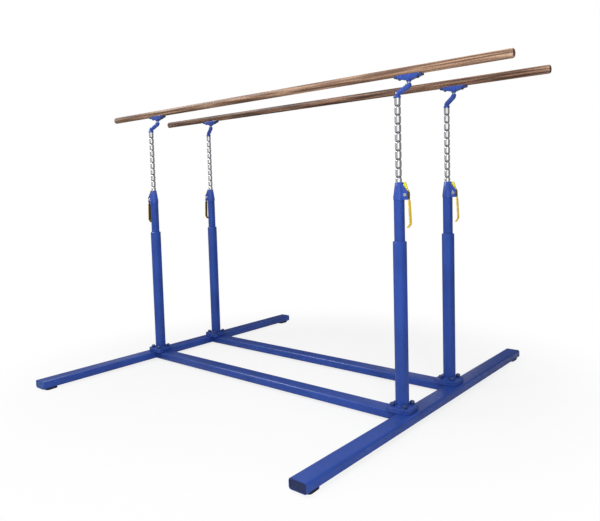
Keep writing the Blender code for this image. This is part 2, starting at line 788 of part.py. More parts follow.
def arm_mesh():
    radius = SPIGOT_RADIUS + SEAT_GAP
    top = ARM_FOOT + SPIGOT_LENGTH + SEAT_GAP
    socket = turned(
        "arm_socket",
        [(0, ARM_FOOT - CUT_OVERRUN), (radius, ARM_FOOT - CUT_OVERRUN), (radius, top), (0, top)],
        ROUND_SIDES,
    )
    mesh = carve("arm", arm_bar(), [("DIFFERENCE", socket, 0)])
    return moved_mesh(mesh, Matrix.Translation((0, 0, -ARM_FOOT)))


def saddle_outline():
    """Side view of the saddle: level top, and two swept sides that run down to the boss."""
    half = SADDLE_LENGTH / 2
    points = [(half, SADDLE_TOP), (-half, SADDLE_TOP)]
    for step in range(-SADDLE_STEPS, SADDLE_STEPS + 1):
        along = step / SADDLE_STEPS
        sweep = (1 - abs(along)) ** SADDLE_SWEEP
        depth = SADDLE_TIP_DEPTH + (SADDLE_BELLY_DEPTH - SADDLE_TIP_DEPTH) * sweep
        points.append((half * along, RAIL_BOTTOM - SEAT_GAP - depth))
    return points


def saddle_body():
    mesh = plate("saddle_body", saddle_outline(), SADDLE_WIDTH)
    narrowing = 1 - SADDLE_TIP_WIDTH / SADDLE_WIDTH
    for vertex in mesh.vertices:
        along = abs(vertex.co.x) / (SADDLE_LENGTH / 2)
        vertex.co.y *= 1 - narrowing * along**2
    return bevelled("saddle_body", mesh, SADDLE_EDGE)


def oval_bar(name, length, height, width):
    """Oval bar along X, centred on the rail's own axis height."""
    shape = bmesh.new()
    bmesh.ops.create_circle(shape, cap_ends=True, radius=1, segments=RAIL_SIDES)
    bmesh.ops.scale(shape, verts=shape.verts, vec=(height / 2, width / 2, 1))
    grow(shape, list(shape.faces), length)
    bmesh.ops.translate(shape, verts=shape.verts, vec=(0, 0, -length / 2))
    bmesh.ops.rotate(
        shape, verts=shape.verts, cent=(0, 0, 0), matrix=Matrix.Rotation(math.pi / 2, 3, "Y")
    )
    return shape


def saddle_mesh():
    seat = oval_bar(
        "seat", SADDLE_LENGTH * 2, RAIL_HEIGHT + 2 * SEAT_GAP, RAIL_WIDTH + 2 * SEAT_GAP
    )
    bmesh.ops.translate(seat, verts=seat.verts, vec=(0, 0, RAIL_Z))
    boss_foot = SADDLE_FOOT - SADDLE_BOSS_DROP
    boss = turned(
        "boss",
        [(0, boss_foot), (SADDLE_BOSS_RADIUS, boss_foot),
         (SADDLE_BOSS_RADIUS, RAIL_BOTTOM - SADDLE_TIP_DEPTH), (0, RAIL_BOTTOM - SADDLE_TIP_DEPTH)],
        ROUND_SIDES,
    )
    bore = STEM_PIN_RADIUS + SEAT_GAP
    top = ARM_TOP + STEM_PIN_LENGTH + SEAT_GAP
    socket = turned(
        "stem_socket",
        [(0, boss_foot - CUT_OVERRUN), (bore, boss_foot - CUT_OVERRUN), (bore, top), (0, top)],
        ROUND_SIDES,
    )
    mesh = carve(
        "saddle",
        saddle_body(),
        [
            ("UNION", boss, 0),
            ("DIFFERENCE", finish_mesh(seat, "seat"), 0),
            ("DIFFERENCE", socket, 0),
        ],
    )
    return moved_mesh(mesh, Matrix.Translation((0, 0, -ARM_TOP)))


def rail_mesh():
    shape = oval_bar("rail", RAIL_LENGTH, RAIL_HEIGHT, RAIL_WIDTH)
    rims = [
        edge
        for edge in shape.edges
        if abs(edge.verts[0].co.x - edge.verts[1].co.x) < MERGE_DISTANCE
    ]
    bmesh.ops.bevel(
        shape,
        geom=rims,
        offset=RAIL_END_ROUNDING,
        segments=RAIL_ROUNDING_STEPS,
        profile=0.5,
        affect="EDGES",
    )
    return finish_mesh(shape, "rail")


def build_base(blue, rubber, nylon):
    """Two crossbeams, two long beams butting against them, plugs and feet."""
    upright = Matrix.Rotation(math.pi / 2, 4, "Y")
    along_x = beam_mesh("long_beam", 2 * (CROSSBEAM_X - BEAM_WIDTH / 2 - SEAT_GAP))
    moved_mesh(along_x, upright)
    along_y = moved_mesh(
        beam_mesh("crossbeam", CROSSBEAM_LENGTH), Matrix.Rotation(math.pi / 2, 4, "Z") @ upright
    )
    plug = moved_mesh(plug_mesh(), Matrix.Rotation(math.pi / 2, 4, "Z") @ upright)
    foot = foot_mesh()
    middle = BEAM_FOOT + BEAM_HEIGHT / 2
    for side, y_sign in SIDES.items():
        place(f"long_beam_{side}", along_x, blue, (0, y_sign * COLUMN_Y, middle))
    for end, x_sign in ENDS.items():
        x = x_sign * CROSSBEAM_X
        place(f"crossbeam_{end}", along_y, blue, (x, 0, middle))
        for side, y_sign in SIDES.items():
            plug_y = y_sign * (CROSSBEAM_LENGTH / 2 - PLUG_LENGTH - PLUG_RECESS)
            turn = 0 if y_sign > 0 else math.pi
            place(f"beam_plug_{side}_{end}", plug, nylon, (x, plug_y, middle), turn=turn)
            foot_y = y_sign * ((CROSSBEAM_LENGTH - FOOT_LENGTH) / 2 - FOOT_INSET)
            place(f"rubber_foot_{side}_{end}", foot, rubber, (x, foot_y, 0))


def build_columns(blue, yellow, zinc, chrome, nylon):
    """Four columns. Gives the saddles, which carry the rails."""
    meshes = {
        "lower_tube": (lower_tube_mesh(), blue),
        "upper_tube": (upper_tube_mesh(), blue),
        "lock_head": (lock_head_mesh(), blue),
        "guide_bush": (bush_mesh(), nylon),
    }
    bolt = pivot_bolt_mesh()
    spring = return_spring_mesh()
    lever = lever_mesh()
    post_shape = post_mesh()
    slide_foot = slide_foot_mesh()
    arm_shape = arm_mesh()
    saddle_shape = saddle_mesh()
    saddles = {}
    for side, y_sign in SIDES.items():
        for end, x_sign in ENDS.items():
            tag = f"{side}_{end}"
            spot = (x_sign * COLUMN_X, y_sign * COLUMN_Y, 0)
            column = bpy.data.objects.new(f"column_{tag}", None)
            bpy.context.scene.collection.objects.link(column)
            column.location = spot
            column.rotation_euler = (0, 0, 0 if x_sign > 0 else math.pi)
            for piece, (mesh, material) in meshes.items():
                place(f"{piece}_{tag}", mesh, material, (0, 0, 0), column)
            pivot = (PIVOT_OUT, 0, PIVOT_Z)
            place(f"pivot_bolt_{tag}", bolt, zinc, pivot, column)
            place(f"return_spring_{tag}", spring, zinc, pivot, column)
            place(f"lever_{tag}", lever, yellow, pivot, column)
            post = place(f"post_{tag}", post_shape, chrome, spot)
            place(f"slide_foot_{tag}", slide_foot, nylon, (0, 0, 0), post)
            swing = -y_sign * ARM_SWING
            arm = place(f"arm_{tag}", arm_shape, blue, (0, 0, ARM_FOOT), post, swing)
            stem = (ARM_REACH, 0, ARM_TOP - ARM_FOOT)
            saddles[tag] = place(f"saddle_{tag}", saddle_shape, blue, stem, arm, -swing)
    return saddles


def build_rails(saddles, wood):
    """Each rail rests on its two saddles, midway between them, and is carried by the left one."""
    rail = rail_mesh()
    for side in SIDES:
        place(f"rail_{side}", rail, wood, (COLUMN_X, 0, RAIL_Z - ARM_TOP), saddles[f"{side}_left"])


def centre_on_rails():
    """The arms all lean the same way, so the base moves back until the rails are over the origin."""
    for item in bpy.data.objects:
        if item.parent is None:
            item.location.x -= ARM_REACH * math.cos(ARM_SWING)


def main():
    clear_scene()
    blue = make_material("blue_powder_coat", (0.045, 0.085, 0.36), 0.0, 0.35)
    yellow = make_material("yellow_lever", (0.80, 0.52, 0.03), 0.0, 0.4)
    wood = make_material("laminated_wood", (0.32, 0.15, 0.08), 0.0, 0.5)
    chrome = make_material("chromed_steel", (0.75, 0.76, 0.78), 1.0, 0.12)
    zinc = make_material("zinc_plate", (0.62, 0.63, 0.64), 1.0, 0.35)
    rubber = make_material("black_rubber", (0.02, 0.022, 0.03), 0.0, 0.7)
    nylon = make_material("black_nylon", (0.03, 0.03, 0.035), 0.0, 0.5)
    build_base(blue, rubber, nylon)
    saddles = build_columns(blue, yellow, zinc, chrome, nylon)
    build_rails(saddles, wood)
    centre_on_rails()


main()
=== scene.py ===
"""Looks of the gymnastics parallel bars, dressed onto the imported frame."""

import math
from types import SimpleNamespace

import bmesh
import bpy
from mathutils import Matrix, Vector


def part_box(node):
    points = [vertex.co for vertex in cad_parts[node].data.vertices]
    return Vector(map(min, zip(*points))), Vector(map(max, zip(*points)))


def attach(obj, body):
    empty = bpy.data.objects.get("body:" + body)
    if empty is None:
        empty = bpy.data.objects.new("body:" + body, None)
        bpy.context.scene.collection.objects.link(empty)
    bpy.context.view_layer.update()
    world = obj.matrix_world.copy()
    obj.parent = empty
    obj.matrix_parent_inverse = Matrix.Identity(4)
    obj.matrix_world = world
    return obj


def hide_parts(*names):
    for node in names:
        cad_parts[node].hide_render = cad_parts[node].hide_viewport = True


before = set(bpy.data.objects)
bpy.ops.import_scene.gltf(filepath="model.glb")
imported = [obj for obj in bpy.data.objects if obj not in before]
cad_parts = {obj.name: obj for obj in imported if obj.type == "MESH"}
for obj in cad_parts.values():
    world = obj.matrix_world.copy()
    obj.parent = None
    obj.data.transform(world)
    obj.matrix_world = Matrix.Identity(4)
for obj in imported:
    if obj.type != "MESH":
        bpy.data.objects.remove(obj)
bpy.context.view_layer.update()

# Camera, fitted to the photograph: the lens is a plain pinhole and the small shift is its cropping.
PHOTO_WIDTH = 600
PHOTO_HEIGHT = 521
FOCAL_PIXELS = 588.1
OPTICAL_CENTRE = (304.7, 232.2)
CAMERA_PLACE = (2.8315, -3.2429, 1.3681)
CAMERA_HEADING = 0.69467
CAMERA_TILT = 1.50023
CAMERA_ROLL = -0.02753

camera_data = bpy.data.cameras.new("camera")
camera_data.sensor_width = 36
camera_data.lens = FOCAL_PIXELS / PHOTO_WIDTH * camera_data.sensor_width
camera_data.shift_x = (PHOTO_WIDTH / 2 - OPTICAL_CENTRE[0]) / PHOTO_WIDTH
camera_data.shift_y = (OPTICAL_CENTRE[1] - PHOTO_HEIGHT / 2) / PHOTO_WIDTH
camera = bpy.data.objects.new("camera", camera_data)
bpy.context.scene.collection.objects.link(camera)
camera.matrix_world = (
    Matrix.Translation(CAMERA_PLACE)
    @ Matrix.Rotation(CAMERA_HEADING, 4, "Z")
    @ Matrix.Rotation(CAMERA_TILT, 4, "X")
    @ Matrix.Rotation(CAMERA_ROLL, 4, "Z")
)
bpy.context.scene.camera = camera
bpy.context.scene.view_settings.view_transform = "Standard"

# Studio: a white floor and cove, one soft lamp beside the camera, one overhead and two weaker ones.
# A ring of grey and black cards and a bright one overhead, which only shiny surfaces see, give the
# chrome its dark edges and the long beams a thin bright edge.
FLOOR_SIZE = 60
FLOOR_WHITE = (0.9, 0.9, 0.9)
FLOOR_GLOW = 0.8
FLOOR_FADE = (1.2, 2.6)
ROOM_LIGHT = 0.22
LAMPS = {
    "front": {"place": (3.9, -3.7, 2.3), "aim": (0.4, 0.0, 0.9), "size": 1.2, "power": 110},
    "left": {"place": (-2.8, -4.6, 2.8), "aim": (-0.4, 0.0, 0.9), "size": 1.6, "power": 42},
    "back": {"place": (1.0, 5.0, 3.2), "aim": (0.0, 0.0, 0.9), "size": 2.5, "power": 30},
    "top": {"place": (0.3, -2.5, 4.4), "aim": (0.3, -0.8, 0.0), "size": 2.4, "power": 108},
}
EDGE_CARD = (-3.8, -2.0, 5.0)
EDGE_CARD_SIZE = 3.0
EDGE_CARD_STRENGTH = 22.0
RING_STRENGTH = 2.0
RING_RADIUS = 8.0
RING_HEIGHT = 8.0
RING_FOOT = -2.0
RING_TONES = [
    (0, 0.20), (0.03, 0.33), (0.09, 0.31), (0.15, 0.21), (0.22, 0.33), (0.29, 0.42),
    (0.33, 0.55), (0.345, 1.00), (0.378, 1.00), (0.395, 0.58), (0.46, 0.28), (0.52, 0.12),
    (0.645, 0.08), (0.655, 0.47), (0.675, 0.47), (0.685, 0.07),
    (0.785, 0.05), (0.795, 0.47), (0.815, 0.47), (0.825, 0.05),
    (0.925, 0.05), (0.935, 0.40), (0.95, 0.40), (0.96, 0.07),
]


def feed(tree, node, inputs):
    """Give inputs of a node a plain value, or the output of another node."""
    for name, value in inputs.items():
        if isinstance(value, bpy.types.NodeSocket):
            tree.links.new(value, node.inputs[name])
        else:
            node.inputs[name].default_value = value


def add_node(tree, kind, inputs, **settings):
    """Add a shader node with its settings, and feed its inputs."""
    node = tree.nodes.new("ShaderNode" + kind)
    for setting, value in settings.items():
        setattr(node, setting, value)
    feed(tree, node, inputs)
    return node


def add_math(tree, operation, *values):
    """Work out one value from others."""
    return add_node(tree, "Math", dict(enumerate(values)), operation=operation).outputs["Value"]


def spread(tree, source, start, stop, low=0.0, high=1.0, **settings):
    """Spread a value that runs from start to stop over low to high."""
    ends = {"From Min": start, "From Max": stop, "To Min": low, "To Max": high}
    return add_node(tree, "MapRange", {"Value": source, **ends}, **settings).outputs["Result"]


def add_ramp(tree, source, *stops):
    """A colour ramp on a value. Each stop is (position, colour)."""
    ramp = add_node(tree, "ValToRGB", {"Fac": source})
    elements = ramp.color_ramp.elements
    while len(elements) < len(stops):
        elements.new(0.5)
    for element, (position, colour) in zip(elements, stops):
        element.position = position
        element.color = (*colour, 1)
    return ramp.outputs["Color"]


def add_place(tree):
    """The place on the piece itself, in metres."""
    return add_node(tree, "TexCoord", {}).outputs["Object"]


def new_material(name, colour, metallic=0.0, roughness=0.5, gloss=0.5):
    """A Principled material. Gives its node tree and shader too."""
    material = bpy.data.materials.new(name)
    material.use_nodes = True
    tree = material.node_tree
    shader = tree.nodes["Principled BSDF"]
    feed(tree, shader, {"Base Color": (*colour, 1), "Metallic": metallic})
    feed(tree, shader, {"Roughness": roughness, "Specular IOR Level": gloss})
    return material, tree, shader


def make_card(card, name, strength):
    """Make a plane or ring glow, for shiny surfaces only. Gives its node tree and its glow."""
    material, tree, shader = new_material(name, (0, 0, 0))
    tree.nodes.remove(shader)
    glow = add_node(tree, "Emission", {"Strength": strength})
    feed(tree, tree.nodes["Material Output"], {"Surface": glow.outputs["Emission"]})
    card.data.materials.append(material)
    card.visible_camera = False
    card.visible_diffuse = False
    card.visible_shadow = False
    card.visible_transmission = False
    return tree, glow


bpy.ops.mesh.primitive_plane_add(size=FLOOR_SIZE)
floor = bpy.context.object
floor.name = "studio_floor"
floor_white, tree, shader = new_material("floor_white", FLOOR_WHITE, roughness=1.0, gloss=0.0)
rays = add_node(tree, "LightPath", {}).outputs
reach = add_node(tree, "VectorMath", {0: add_place(tree)}, operation="LENGTH").outputs["Value"]
fade = spread(tree, reach, *FLOOR_FADE, FLOOR_GLOW, 1.0, interpolation_type="SMOOTHSTEP")
glow_share = add_math(tree, "MULTIPLY", rays["Is Camera Ray"], fade)
glow = add_node(tree, "Emission", {}).outputs["Emission"]
lit = add_node(tree, "MixShader", {"Fac": glow_share, 1: shader.outputs["BSDF"], 2: glow})
feed(tree, tree.nodes["Material Output"], {"Surface": lit.outputs["Shader"]})
floor.data.materials.append(floor_white)

world = bpy.data.worlds.new("studio_cove")
world.use_nodes = True
bpy.context.scene.world = world
tree = world.node_tree
rays = add_node(tree, "LightPath", {}).outputs
seen = add_math(tree, "MAXIMUM", rays["Is Camera Ray"], rays["Is Transmission Ray"])
seen = add_math(tree, "MAXIMUM", seen, rays["Is Glossy Ray"])
cove_strength = spread(tree, seen, 0, 1, ROOM_LIGHT, 1.0)
feed(tree, tree.nodes["Background"], {"Color": (1, 1, 1, 1), "Strength": cove_strength})

for lamp_name, lamp_facts in LAMPS.items():
    lamp_data = bpy.data.lights.new("lamp_" + lamp_name, "AREA")
    lamp_data.size = lamp_facts["size"]
    lamp_data.energy = lamp_facts["power"]
    lamp = bpy.data.objects.new("lamp_" + lamp_name, lamp_data)
    bpy.context.scene.collection.objects.link(lamp)
    lamp.location = lamp_facts["place"]
    from_aim = Vector(lamp_facts["place"]) - Vector(lamp_facts["aim"])
    lamp.rotation_euler = from_aim.to_track_quat("Z", "Y").to_euler()
    lamp.visible_glossy = False

bpy.ops.mesh.primitive_cylinder_add(
    vertices=96,
    radius=RING_RADIUS,
    depth=RING_HEIGHT,
    end_fill_type="NOTHING",
    location=(0, 0, RING_FOOT + RING_HEIGHT / 2),
)
cards = bpy.context.object
cards.name = "card_ring"
tree, glow = make_card(cards, "card_tones", RING_STRENGTH)
around = add_node(tree, "TexGradient", {"Vector": add_place(tree)}, gradient_type="RADIAL")
ring_stops = [(start, (tone, tone, tone)) for start, tone in RING_TONES]
feed(tree, glow, {"Color": add_ramp(tree, around.outputs["Fac"], *ring_stops)})

bpy.ops.mesh.primitive_plane_add(size=EDGE_CARD_SIZE, location=EDGE_CARD)
edge_card = bpy.context.object
edge_card.name = "edge_card"
make_card(edge_card, "edge_card_light", EDGE_CARD_STRENGTH)

# Base frame: two crossbeams and two long beams of cold-rolled rectangular steel tube with round
# corners, powder coated satin blue. The long beams butt against the crossbeams.
BEAM_WALL = 0.003
BEAM_CORNER = 0.014
BEAM_EASE = 0.0005
BLUE = (0.020, 0.059, 0.295)
NOISE_SPAN = (0.3, 0.7)


def pick(piece, kind, test):
    """In edit mode, select just the vertices, edges or faces of a piece that pass a test."""
    bpy.ops.mesh.select_mode(type=kind)
    bpy.ops.mesh.select_all(action="DESELECT")
    shape = bmesh.from_edit_mesh(piece.data)
    items = {"VERT": shape.verts, "EDGE": shape.edges, "FACE": shape.faces}[kind]
    for item in items:
        if test(item):
            item.select_set(True)
    shape.select_flush_mode()
    bmesh.update_edit_mesh(piece.data)


def runs_along(edge, axis):
    """Whether an edge runs along X (0), Y (1) or Z (2)."""
    start, end = edge.verts
    return abs((start.co - end.co).normalized()[axis]) > 0.9


def round_edges(piece, radius, steps, test):
    """In edit mode, round the edges of a piece that pass a test."""
    pick(piece, "EDGE", test)
    bpy.ops.mesh.bevel(offset=radius, segments=steps, affect="EDGES")


def choose(*pieces):
    """In object mode, select just these pieces, the first one active."""
    bpy.ops.object.select_all(action="DESELECT")
    for piece in pieces:
        piece.select_set(True)
    bpy.context.view_layer.objects.active = pieces[0]


def apply_modifier(piece, kind, **settings):
    """Add a modifier with its settings to the active piece and apply it."""
    modifier = piece.modifiers.new(kind.lower(), kind)
    for setting, value in settings.items():
        setattr(modifier, setting, value)
    bpy.ops.object.modifier_apply(modifier=modifier.name)


def ease_edges(piece, width, steps, degrees):
    """Leave edit mode and round every edge that turns more than an angle."""
    bpy.ops.object.mode_set(mode="OBJECT")
    angle = math.radians(degrees)
    apply_modifier(
        piece, "BEVEL", width=width, segments=steps, limit_method="ANGLE", angle_limit=angle
    )


def add_block(name, low, high):
    """A block between two corners, left in edit mode."""
    centre = (Vector(low) + Vector(high)) / 2
    bpy.ops.mesh.primitive_cube_add(size=1, location=centre, scale=Vector(high) - Vector(low))
    block = bpy.context.object
    block.name = name
    block.data.name = name
    bpy.ops.object.transform_apply(location=True, rotation=True, scale=True)
    bpy.ops.object.mode_set(mode="EDIT")
    return block


def shade(piece, degrees=35):
    """Leave edit mode and shade a piece smooth, but for edges sharper than an angle."""
    bpy.ops.object.mode_set(mode="OBJECT")
    choose(piece)
    bpy.ops.object.shade_smooth_by_angle(angle=math.radians(degrees))


def dress(piece, body, slot, material, *nodes):
    """Give a finished piece its material and its body, and hide the CAD nodes it stands for."""
    piece.data.materials.clear()
    piece.data.materials.append(material)
    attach(piece, body)
    if nodes:
        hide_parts(*nodes)


def add_noise(tree, scale, detail, stretch=(1, 1, 1), shift=(0, 0, 0)):
    """Noise on the piece's own coordinates, stretched along X, Y and Z."""
    stretched = {"Vector": add_place(tree), "Location": shift, "Scale": stretch}
    place = add_node(tree, "Mapping", stretched).outputs["Vector"]
    noise = add_node(tree, "TexNoise", {"Vector": place, "Scale": scale, "Detail": detail})
    return noise.outputs["Fac"]


def add_bump(tree, shader, source, depth, strength):
    """Raise the surface a little where a value is high."""
    bump = add_node(tree, "Bump", {"Height": source, "Distance": depth, "Strength": strength})
    feed(tree, shader, {"Normal": bump.outputs["Normal"]})


def powder_coat(name, colour, roughness, gloss):
    """Satin powder coat: orange peel, a slow drift of tone, and rubbed patches that shine."""
    material, tree, shader = new_material(name, colour, roughness=roughness, gloss=gloss)
    drift = add_noise(tree, scale=5, detail=4)
    deep = tuple(channel * 0.86 for channel in colour)
    pale = tuple(channel * 1.12 + 0.002 for channel in colour)
    tone = add_ramp(tree, drift, (0.3, deep), (0.5, colour), (0.72, pale))
    rubbed = add_noise(tree, scale=38, detail=6, stretch=(1, 1, 0.4))
    shine = spread(tree, rubbed, *NOISE_SPAN, roughness * 0.82, roughness * 1.25)
    feed(tree, shader, {"Base Color": tone, "Roughness": shine})
    add_bump(tree, shader, add_noise(tree, scale=520, detail=2), depth=0.0003, strength=0.35)
    return material


blue_coat = powder_coat("blue_powder_coat", BLUE, roughness=0.38, gloss=0.25)

for beam_node, along in {
    "crossbeam_left": 1,
    "crossbeam_right": 1,
    "long_beam_near": 0,
    "long_beam_far": 0,
}.items():
    beam = add_block("steel_" + beam_node, *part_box(beam_node))
    pick(beam, "FACE", lambda face: abs(face.normal[along]) > 0.9)
    bpy.ops.mesh.delete(type="ONLY_FACE")
    round_edges(beam, BEAM_CORNER, 8, lambda edge: runs_along(edge, along))
    bpy.ops.object.mode_set(mode="OBJECT")
    apply_modifier(beam, "SOLIDIFY", thickness=BEAM_WALL, offset=-1)
    ease_edges(beam, BEAM_EASE, steps=2, degrees=60)
    shade(beam)
    dress(beam, "base_frame", "blue", blue_coat, beam_node)

# End plugs: moulded blue plastic, pushed into the open ends, with a shallow panel in the face and
# a small radius all round. The plugs in the right crossbeam are painted blue-black, as painted shade.
SIDES = {"near": -1, "far": 1}
HAIR = 0.0001
PLUG_PAINTED_SHADE = (0.008, 0.015, 0.070)
PLUG_PAINTED_SHADE_PALE = (0.013, 0.026, 0.088)
PLUG_BLUE = (0.024, 0.080, 0.30)
PLUG_CORNER = 0.0105
PLUG_EASE = 0.0009
PLUG_RIM = 0.0012
PANEL_BORDER = 0.004
PANEL_SLOPE = 0.0015
PANEL_DEPTH = 0.0012

# The right crossbeam's plugs get a darker blue-black: painted shade.
painted_shade_plug, tree, shader = new_material("plug_plastic", PLUG_PAINTED_SHADE, roughness=0.55, gloss=0.25)
drift = add_noise(tree, scale=24, detail=4)
feed(tree, shader, {"Base Color": add_ramp(tree, drift, (0.3, PLUG_PAINTED_SHADE), (0.7, PLUG_PAINTED_SHADE_PALE))})
add_bump(tree, shader, add_noise(tree, scale=700, detail=2), depth=0.0002, strength=0.5)
blue_plug = powder_coat("plug_blue_plastic", PLUG_BLUE, roughness=0.5, gloss=0.25)

for side, outward in SIDES.items():
    for end, plug_plastic in {"left": blue_plug, "right": painted_shade_plug}.items():
        plug_node = f"beam_plug_{side}_{end}"
        plug_low, plug_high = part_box(plug_node)
        plug_face = plug_high.y if outward > 0 else plug_low.y
        plug = add_block("end_" + plug_node, plug_low, plug_high)
        round_edges(plug, PLUG_CORNER, 6, lambda edge: runs_along(edge, 1))
        pick(plug, "FACE", lambda face: face.normal.y * outward > 0.9)
        bpy.ops.mesh.inset(thickness=PLUG_RIM)
        bpy.ops.mesh.inset(thickness=PANEL_BORDER)
        bpy.ops.mesh.inset(thickness=PANEL_SLOPE, depth=-PANEL_DEPTH)
        round_edges(
            plug,
            PLUG_EASE,
            3,
            lambda edge: all(abs(vert.co.y - plug_face) < HAIR for vert in edge.verts)
            and {face.normal.y * outward > 0.2 for face in edge.link_faces} == {True, False},
        )
        shade(plug)
        dress(plug, "base_frame", "nylon", plug_plastic, plug_node)

# Feet: black rubber pads under the crossbeams' ends, with round corners, a front that slants back
# to the floor, a soft lower rim and two grip grooves round the side.
RUBBER = (0.007, 0.010, 0.024)
RUBBER_DUSTY = (0.016, 0.021, 0.038)
FOOT_CORNER = 0.020
FOOT_SLANT = 0.026
FOOT_SOLE_RADIUS = 0.0038
FOOT_GROOVES = (0.007, 0.0105)
FOOT_GROOVE_HALF = 0.0009
FOOT_GROOVE_DEPTH = 0.0011
FOOT_GROOVE_SLOPE = 0.0002


def cut_level(*heights):
    """In edit mode, cut new edges round the whole piece at some heights."""
    for height in heights:
        bpy.ops.mesh.select_all(action="SELECT")
        bpy.ops.mesh.bisect(plane_co=(0, 0, height), plane_no=(0, 0, 1))


def stands_at(face, height, half):
    """Whether a face is upright and has its middle at a height, give or take a half."""
    return abs(face.normal.z) < 0.1 and abs(face.calc_center_median().z - height) < half


foot_rubber, tree, shader = new_material("foot_rubber", RUBBER, roughness=0.8)
dust = add_noise(tree, scale=40, detail=5, stretch=(1, 1, 3))
feed(tree, shader, {"Base Color": add_ramp(tree, dust, (0.35, RUBBER), (0.75, RUBBER_DUSTY))})
add_bump(tree, shader, add_noise(tree, scale=900, detail=3), depth=0.0003, strength=0.6)

for side, outward in SIDES.items():
    for end in ("left", "right"):
        foot_node = f"rubber_foot_{side}_{end}"
        foot_low, foot_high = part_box(foot_node)
        foot_front = foot_high.y if outward > 0 else foot_low.y
        sole = foot_low.z + HAIR
        foot = add_block("grip_" + foot_node, foot_low, foot_high)
        round_edges(foot, FOOT_CORNER, 8, lambda edge: runs_along(edge, 2))
        pick(
            foot,
            "VERT",
            lambda vert: vert.co.z < sole and abs(vert.co.y - foot_front) < FOOT_CORNER + HAIR,
        )
        bpy.ops.transform.translate(value=(0, -outward * FOOT_SLANT, 0))
        for groove in FOOT_GROOVES:
            cut_level(groove - FOOT_GROOVE_HALF, groove + FOOT_GROOVE_HALF)
            pick(foot, "FACE", lambda face: stands_at(face, groove, FOOT_GROOVE_HALF))
            bpy.ops.mesh.inset(thickness=FOOT_GROOVE_SLOPE, depth=-FOOT_GROOVE_DEPTH)
        round_edges(
            foot,
            FOOT_SOLE_RADIUS,
            4,
            lambda edge: all(vert.co.z < sole for vert in edge.verts)
            and any(abs(face.normal.z) < 0.1 for face in edge.link_faces),
        )
        shade(foot)
        dress(foot, "base_frame", "rubber", foot_rubber, foot_node)

# Columns: a square flange plate, bolted on its twin on the frame, carries a welded lower tube that
# ends in a chamfered collar round the upper tube. All is powder coated blue after welding.
FLANGE_CORNER = 0.036
FLANGE_THICKNESS = 0.030
FLANGE_EASE = 0.0016
OUTLINE_REACH = 0.074
OUTLINE_RADIUS = 0.092
SEAM_HALF = 0.0006
SEAM_SHARE = 0.972
LOWER_TUBE_RADIUS = 0.040
UPPER_TUBE_RADIUS = 0.031
TUBE_WALL = 0.003
TUBE_CLEARANCE = 0.0003
TUBE_SIDES = 64
TUBE_ROOT = 0.001
BORE_EASE = 0.0006
COLLAR_LENGTH = 0.030
COLLAR_CHAMFER = [(0, 0.0045), (0.0004, 0.0036), (0.0034, 0.0005), (0.0044, 0)]
WELD_RADIUS = 0.0042
WELD_OUT = 0.0012
WELD_LIFT = 0.001
WELD_STEPS = 144
RIPPLE_STEPS = 4
RIPPLE_DIP = 0.0004
RIPPLE_SHARE = 0.994


def add_turned(name, rings, sides, closed=True, foot=0.0):
    """Draw a ring up through (radius, height) rings, like a bar turned on a lathe."""
    radius, height = rings[0]
    bpy.ops.mesh.primitive_circle_add(
        vertices=sides, radius=radius, fill_type="NGON" if closed else "NOTHING"
    )
    piece = bpy.context.object
    piece.name = name
    piece.data.name = name
    bpy.ops.object.mode_set(mode="EDIT")
    bpy.ops.mesh.select_mode(type="EDGE")
    bpy.ops.transform.translate(value=(0, 0, foot + height))
    for next_radius, next_height in rings[1:]:
        bpy.ops.mesh.extrude_region_move(
            TRANSFORM_OT_translate={"value": (0, 0, next_height - height)}
        )
        share = next_radius / radius
        bpy.ops.transform.resize(value=(share, share, 1), center_override=(0, 0, 0))
        radius, height = next_radius, next_height
    bpy.ops.mesh.select_all(action="SELECT")
    bpy.ops.mesh.remove_doubles(threshold=0.000001)
    bpy.ops.mesh.normals_make_consistent(inside=False)
    return piece


def place_copy(source, name, place, *turns):
    """A copy of a modelled piece with its own mesh, turned by (angle, axis) and moved to a place."""
    piece = bpy.data.objects.new(name, source.data.copy())
    piece.data.name = name
    bpy.context.scene.collection.objects.link(piece)
    placing = Matrix.Translation(place)
    for angle, axis in turns:
        placing = placing @ Matrix.Rotation(angle, 4, axis)
    piece.data.transform(placing)
    return piece


def join_pieces(*pieces):
    """Make the first piece take in the others."""
    choose(*pieces)
    bpy.ops.object.join()


def discard(*pieces):
    """Take away shapes that have been copied."""
    for piece in pieces:
        bpy.data.objects.remove(piece)


def lies_on_outline(vert, height):
    """Whether a point of the flange plates is at a height and near their outline."""
    reach = max(abs(vert.co.x), abs(vert.co.y))
    far_out = reach > OUTLINE_REACH or vert.co.xy.length > OUTLINE_RADIUS
    return far_out and abs(vert.co.z - height) < HAIR


lower_low, lower_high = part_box("lower_tube_near_right")
flange_top = lower_low.z + FLANGE_THICKNESS
flange_half = (lower_high.x - lower_low.x) / 2
flange = add_block(
    "flange", (-flange_half, -flange_half, lower_low.z), (flange_half, flange_half, flange_top)
)
round_edges(flange, FLANGE_CORNER, 12, lambda edge: runs_along(edge, 2))
flange_seam = flange_top - FLANGE_THICKNESS / 2
cut_level(flange_seam - SEAM_HALF, flange_seam + SEAM_HALF)
pick(flange, "FACE", lambda face: stands_at(face, flange_seam, SEAM_HALF))
bpy.ops.mesh.extrude_region_move()
bpy.ops.mesh.select_mode(type="VERT")
bpy.ops.transform.resize(value=(SEAM_SHARE, SEAM_SHARE, 1), center_override=(0, 0, 0))
for plate_edge in (lower_low.z, flange_seam - SEAM_HALF, flange_seam + SEAM_HALF, flange_top):
    round_edges(
        flange,
        FLANGE_EASE,
        3,
        lambda edge: all(lies_on_outline(vert, plate_edge) for vert in edge.verts)
        and any(abs(face.normal.z) > 0.9 for face in edge.link_faces)
        and any(abs(face.normal.z) < 0.1 for face in edge.link_faces),
    )
shade(flange)

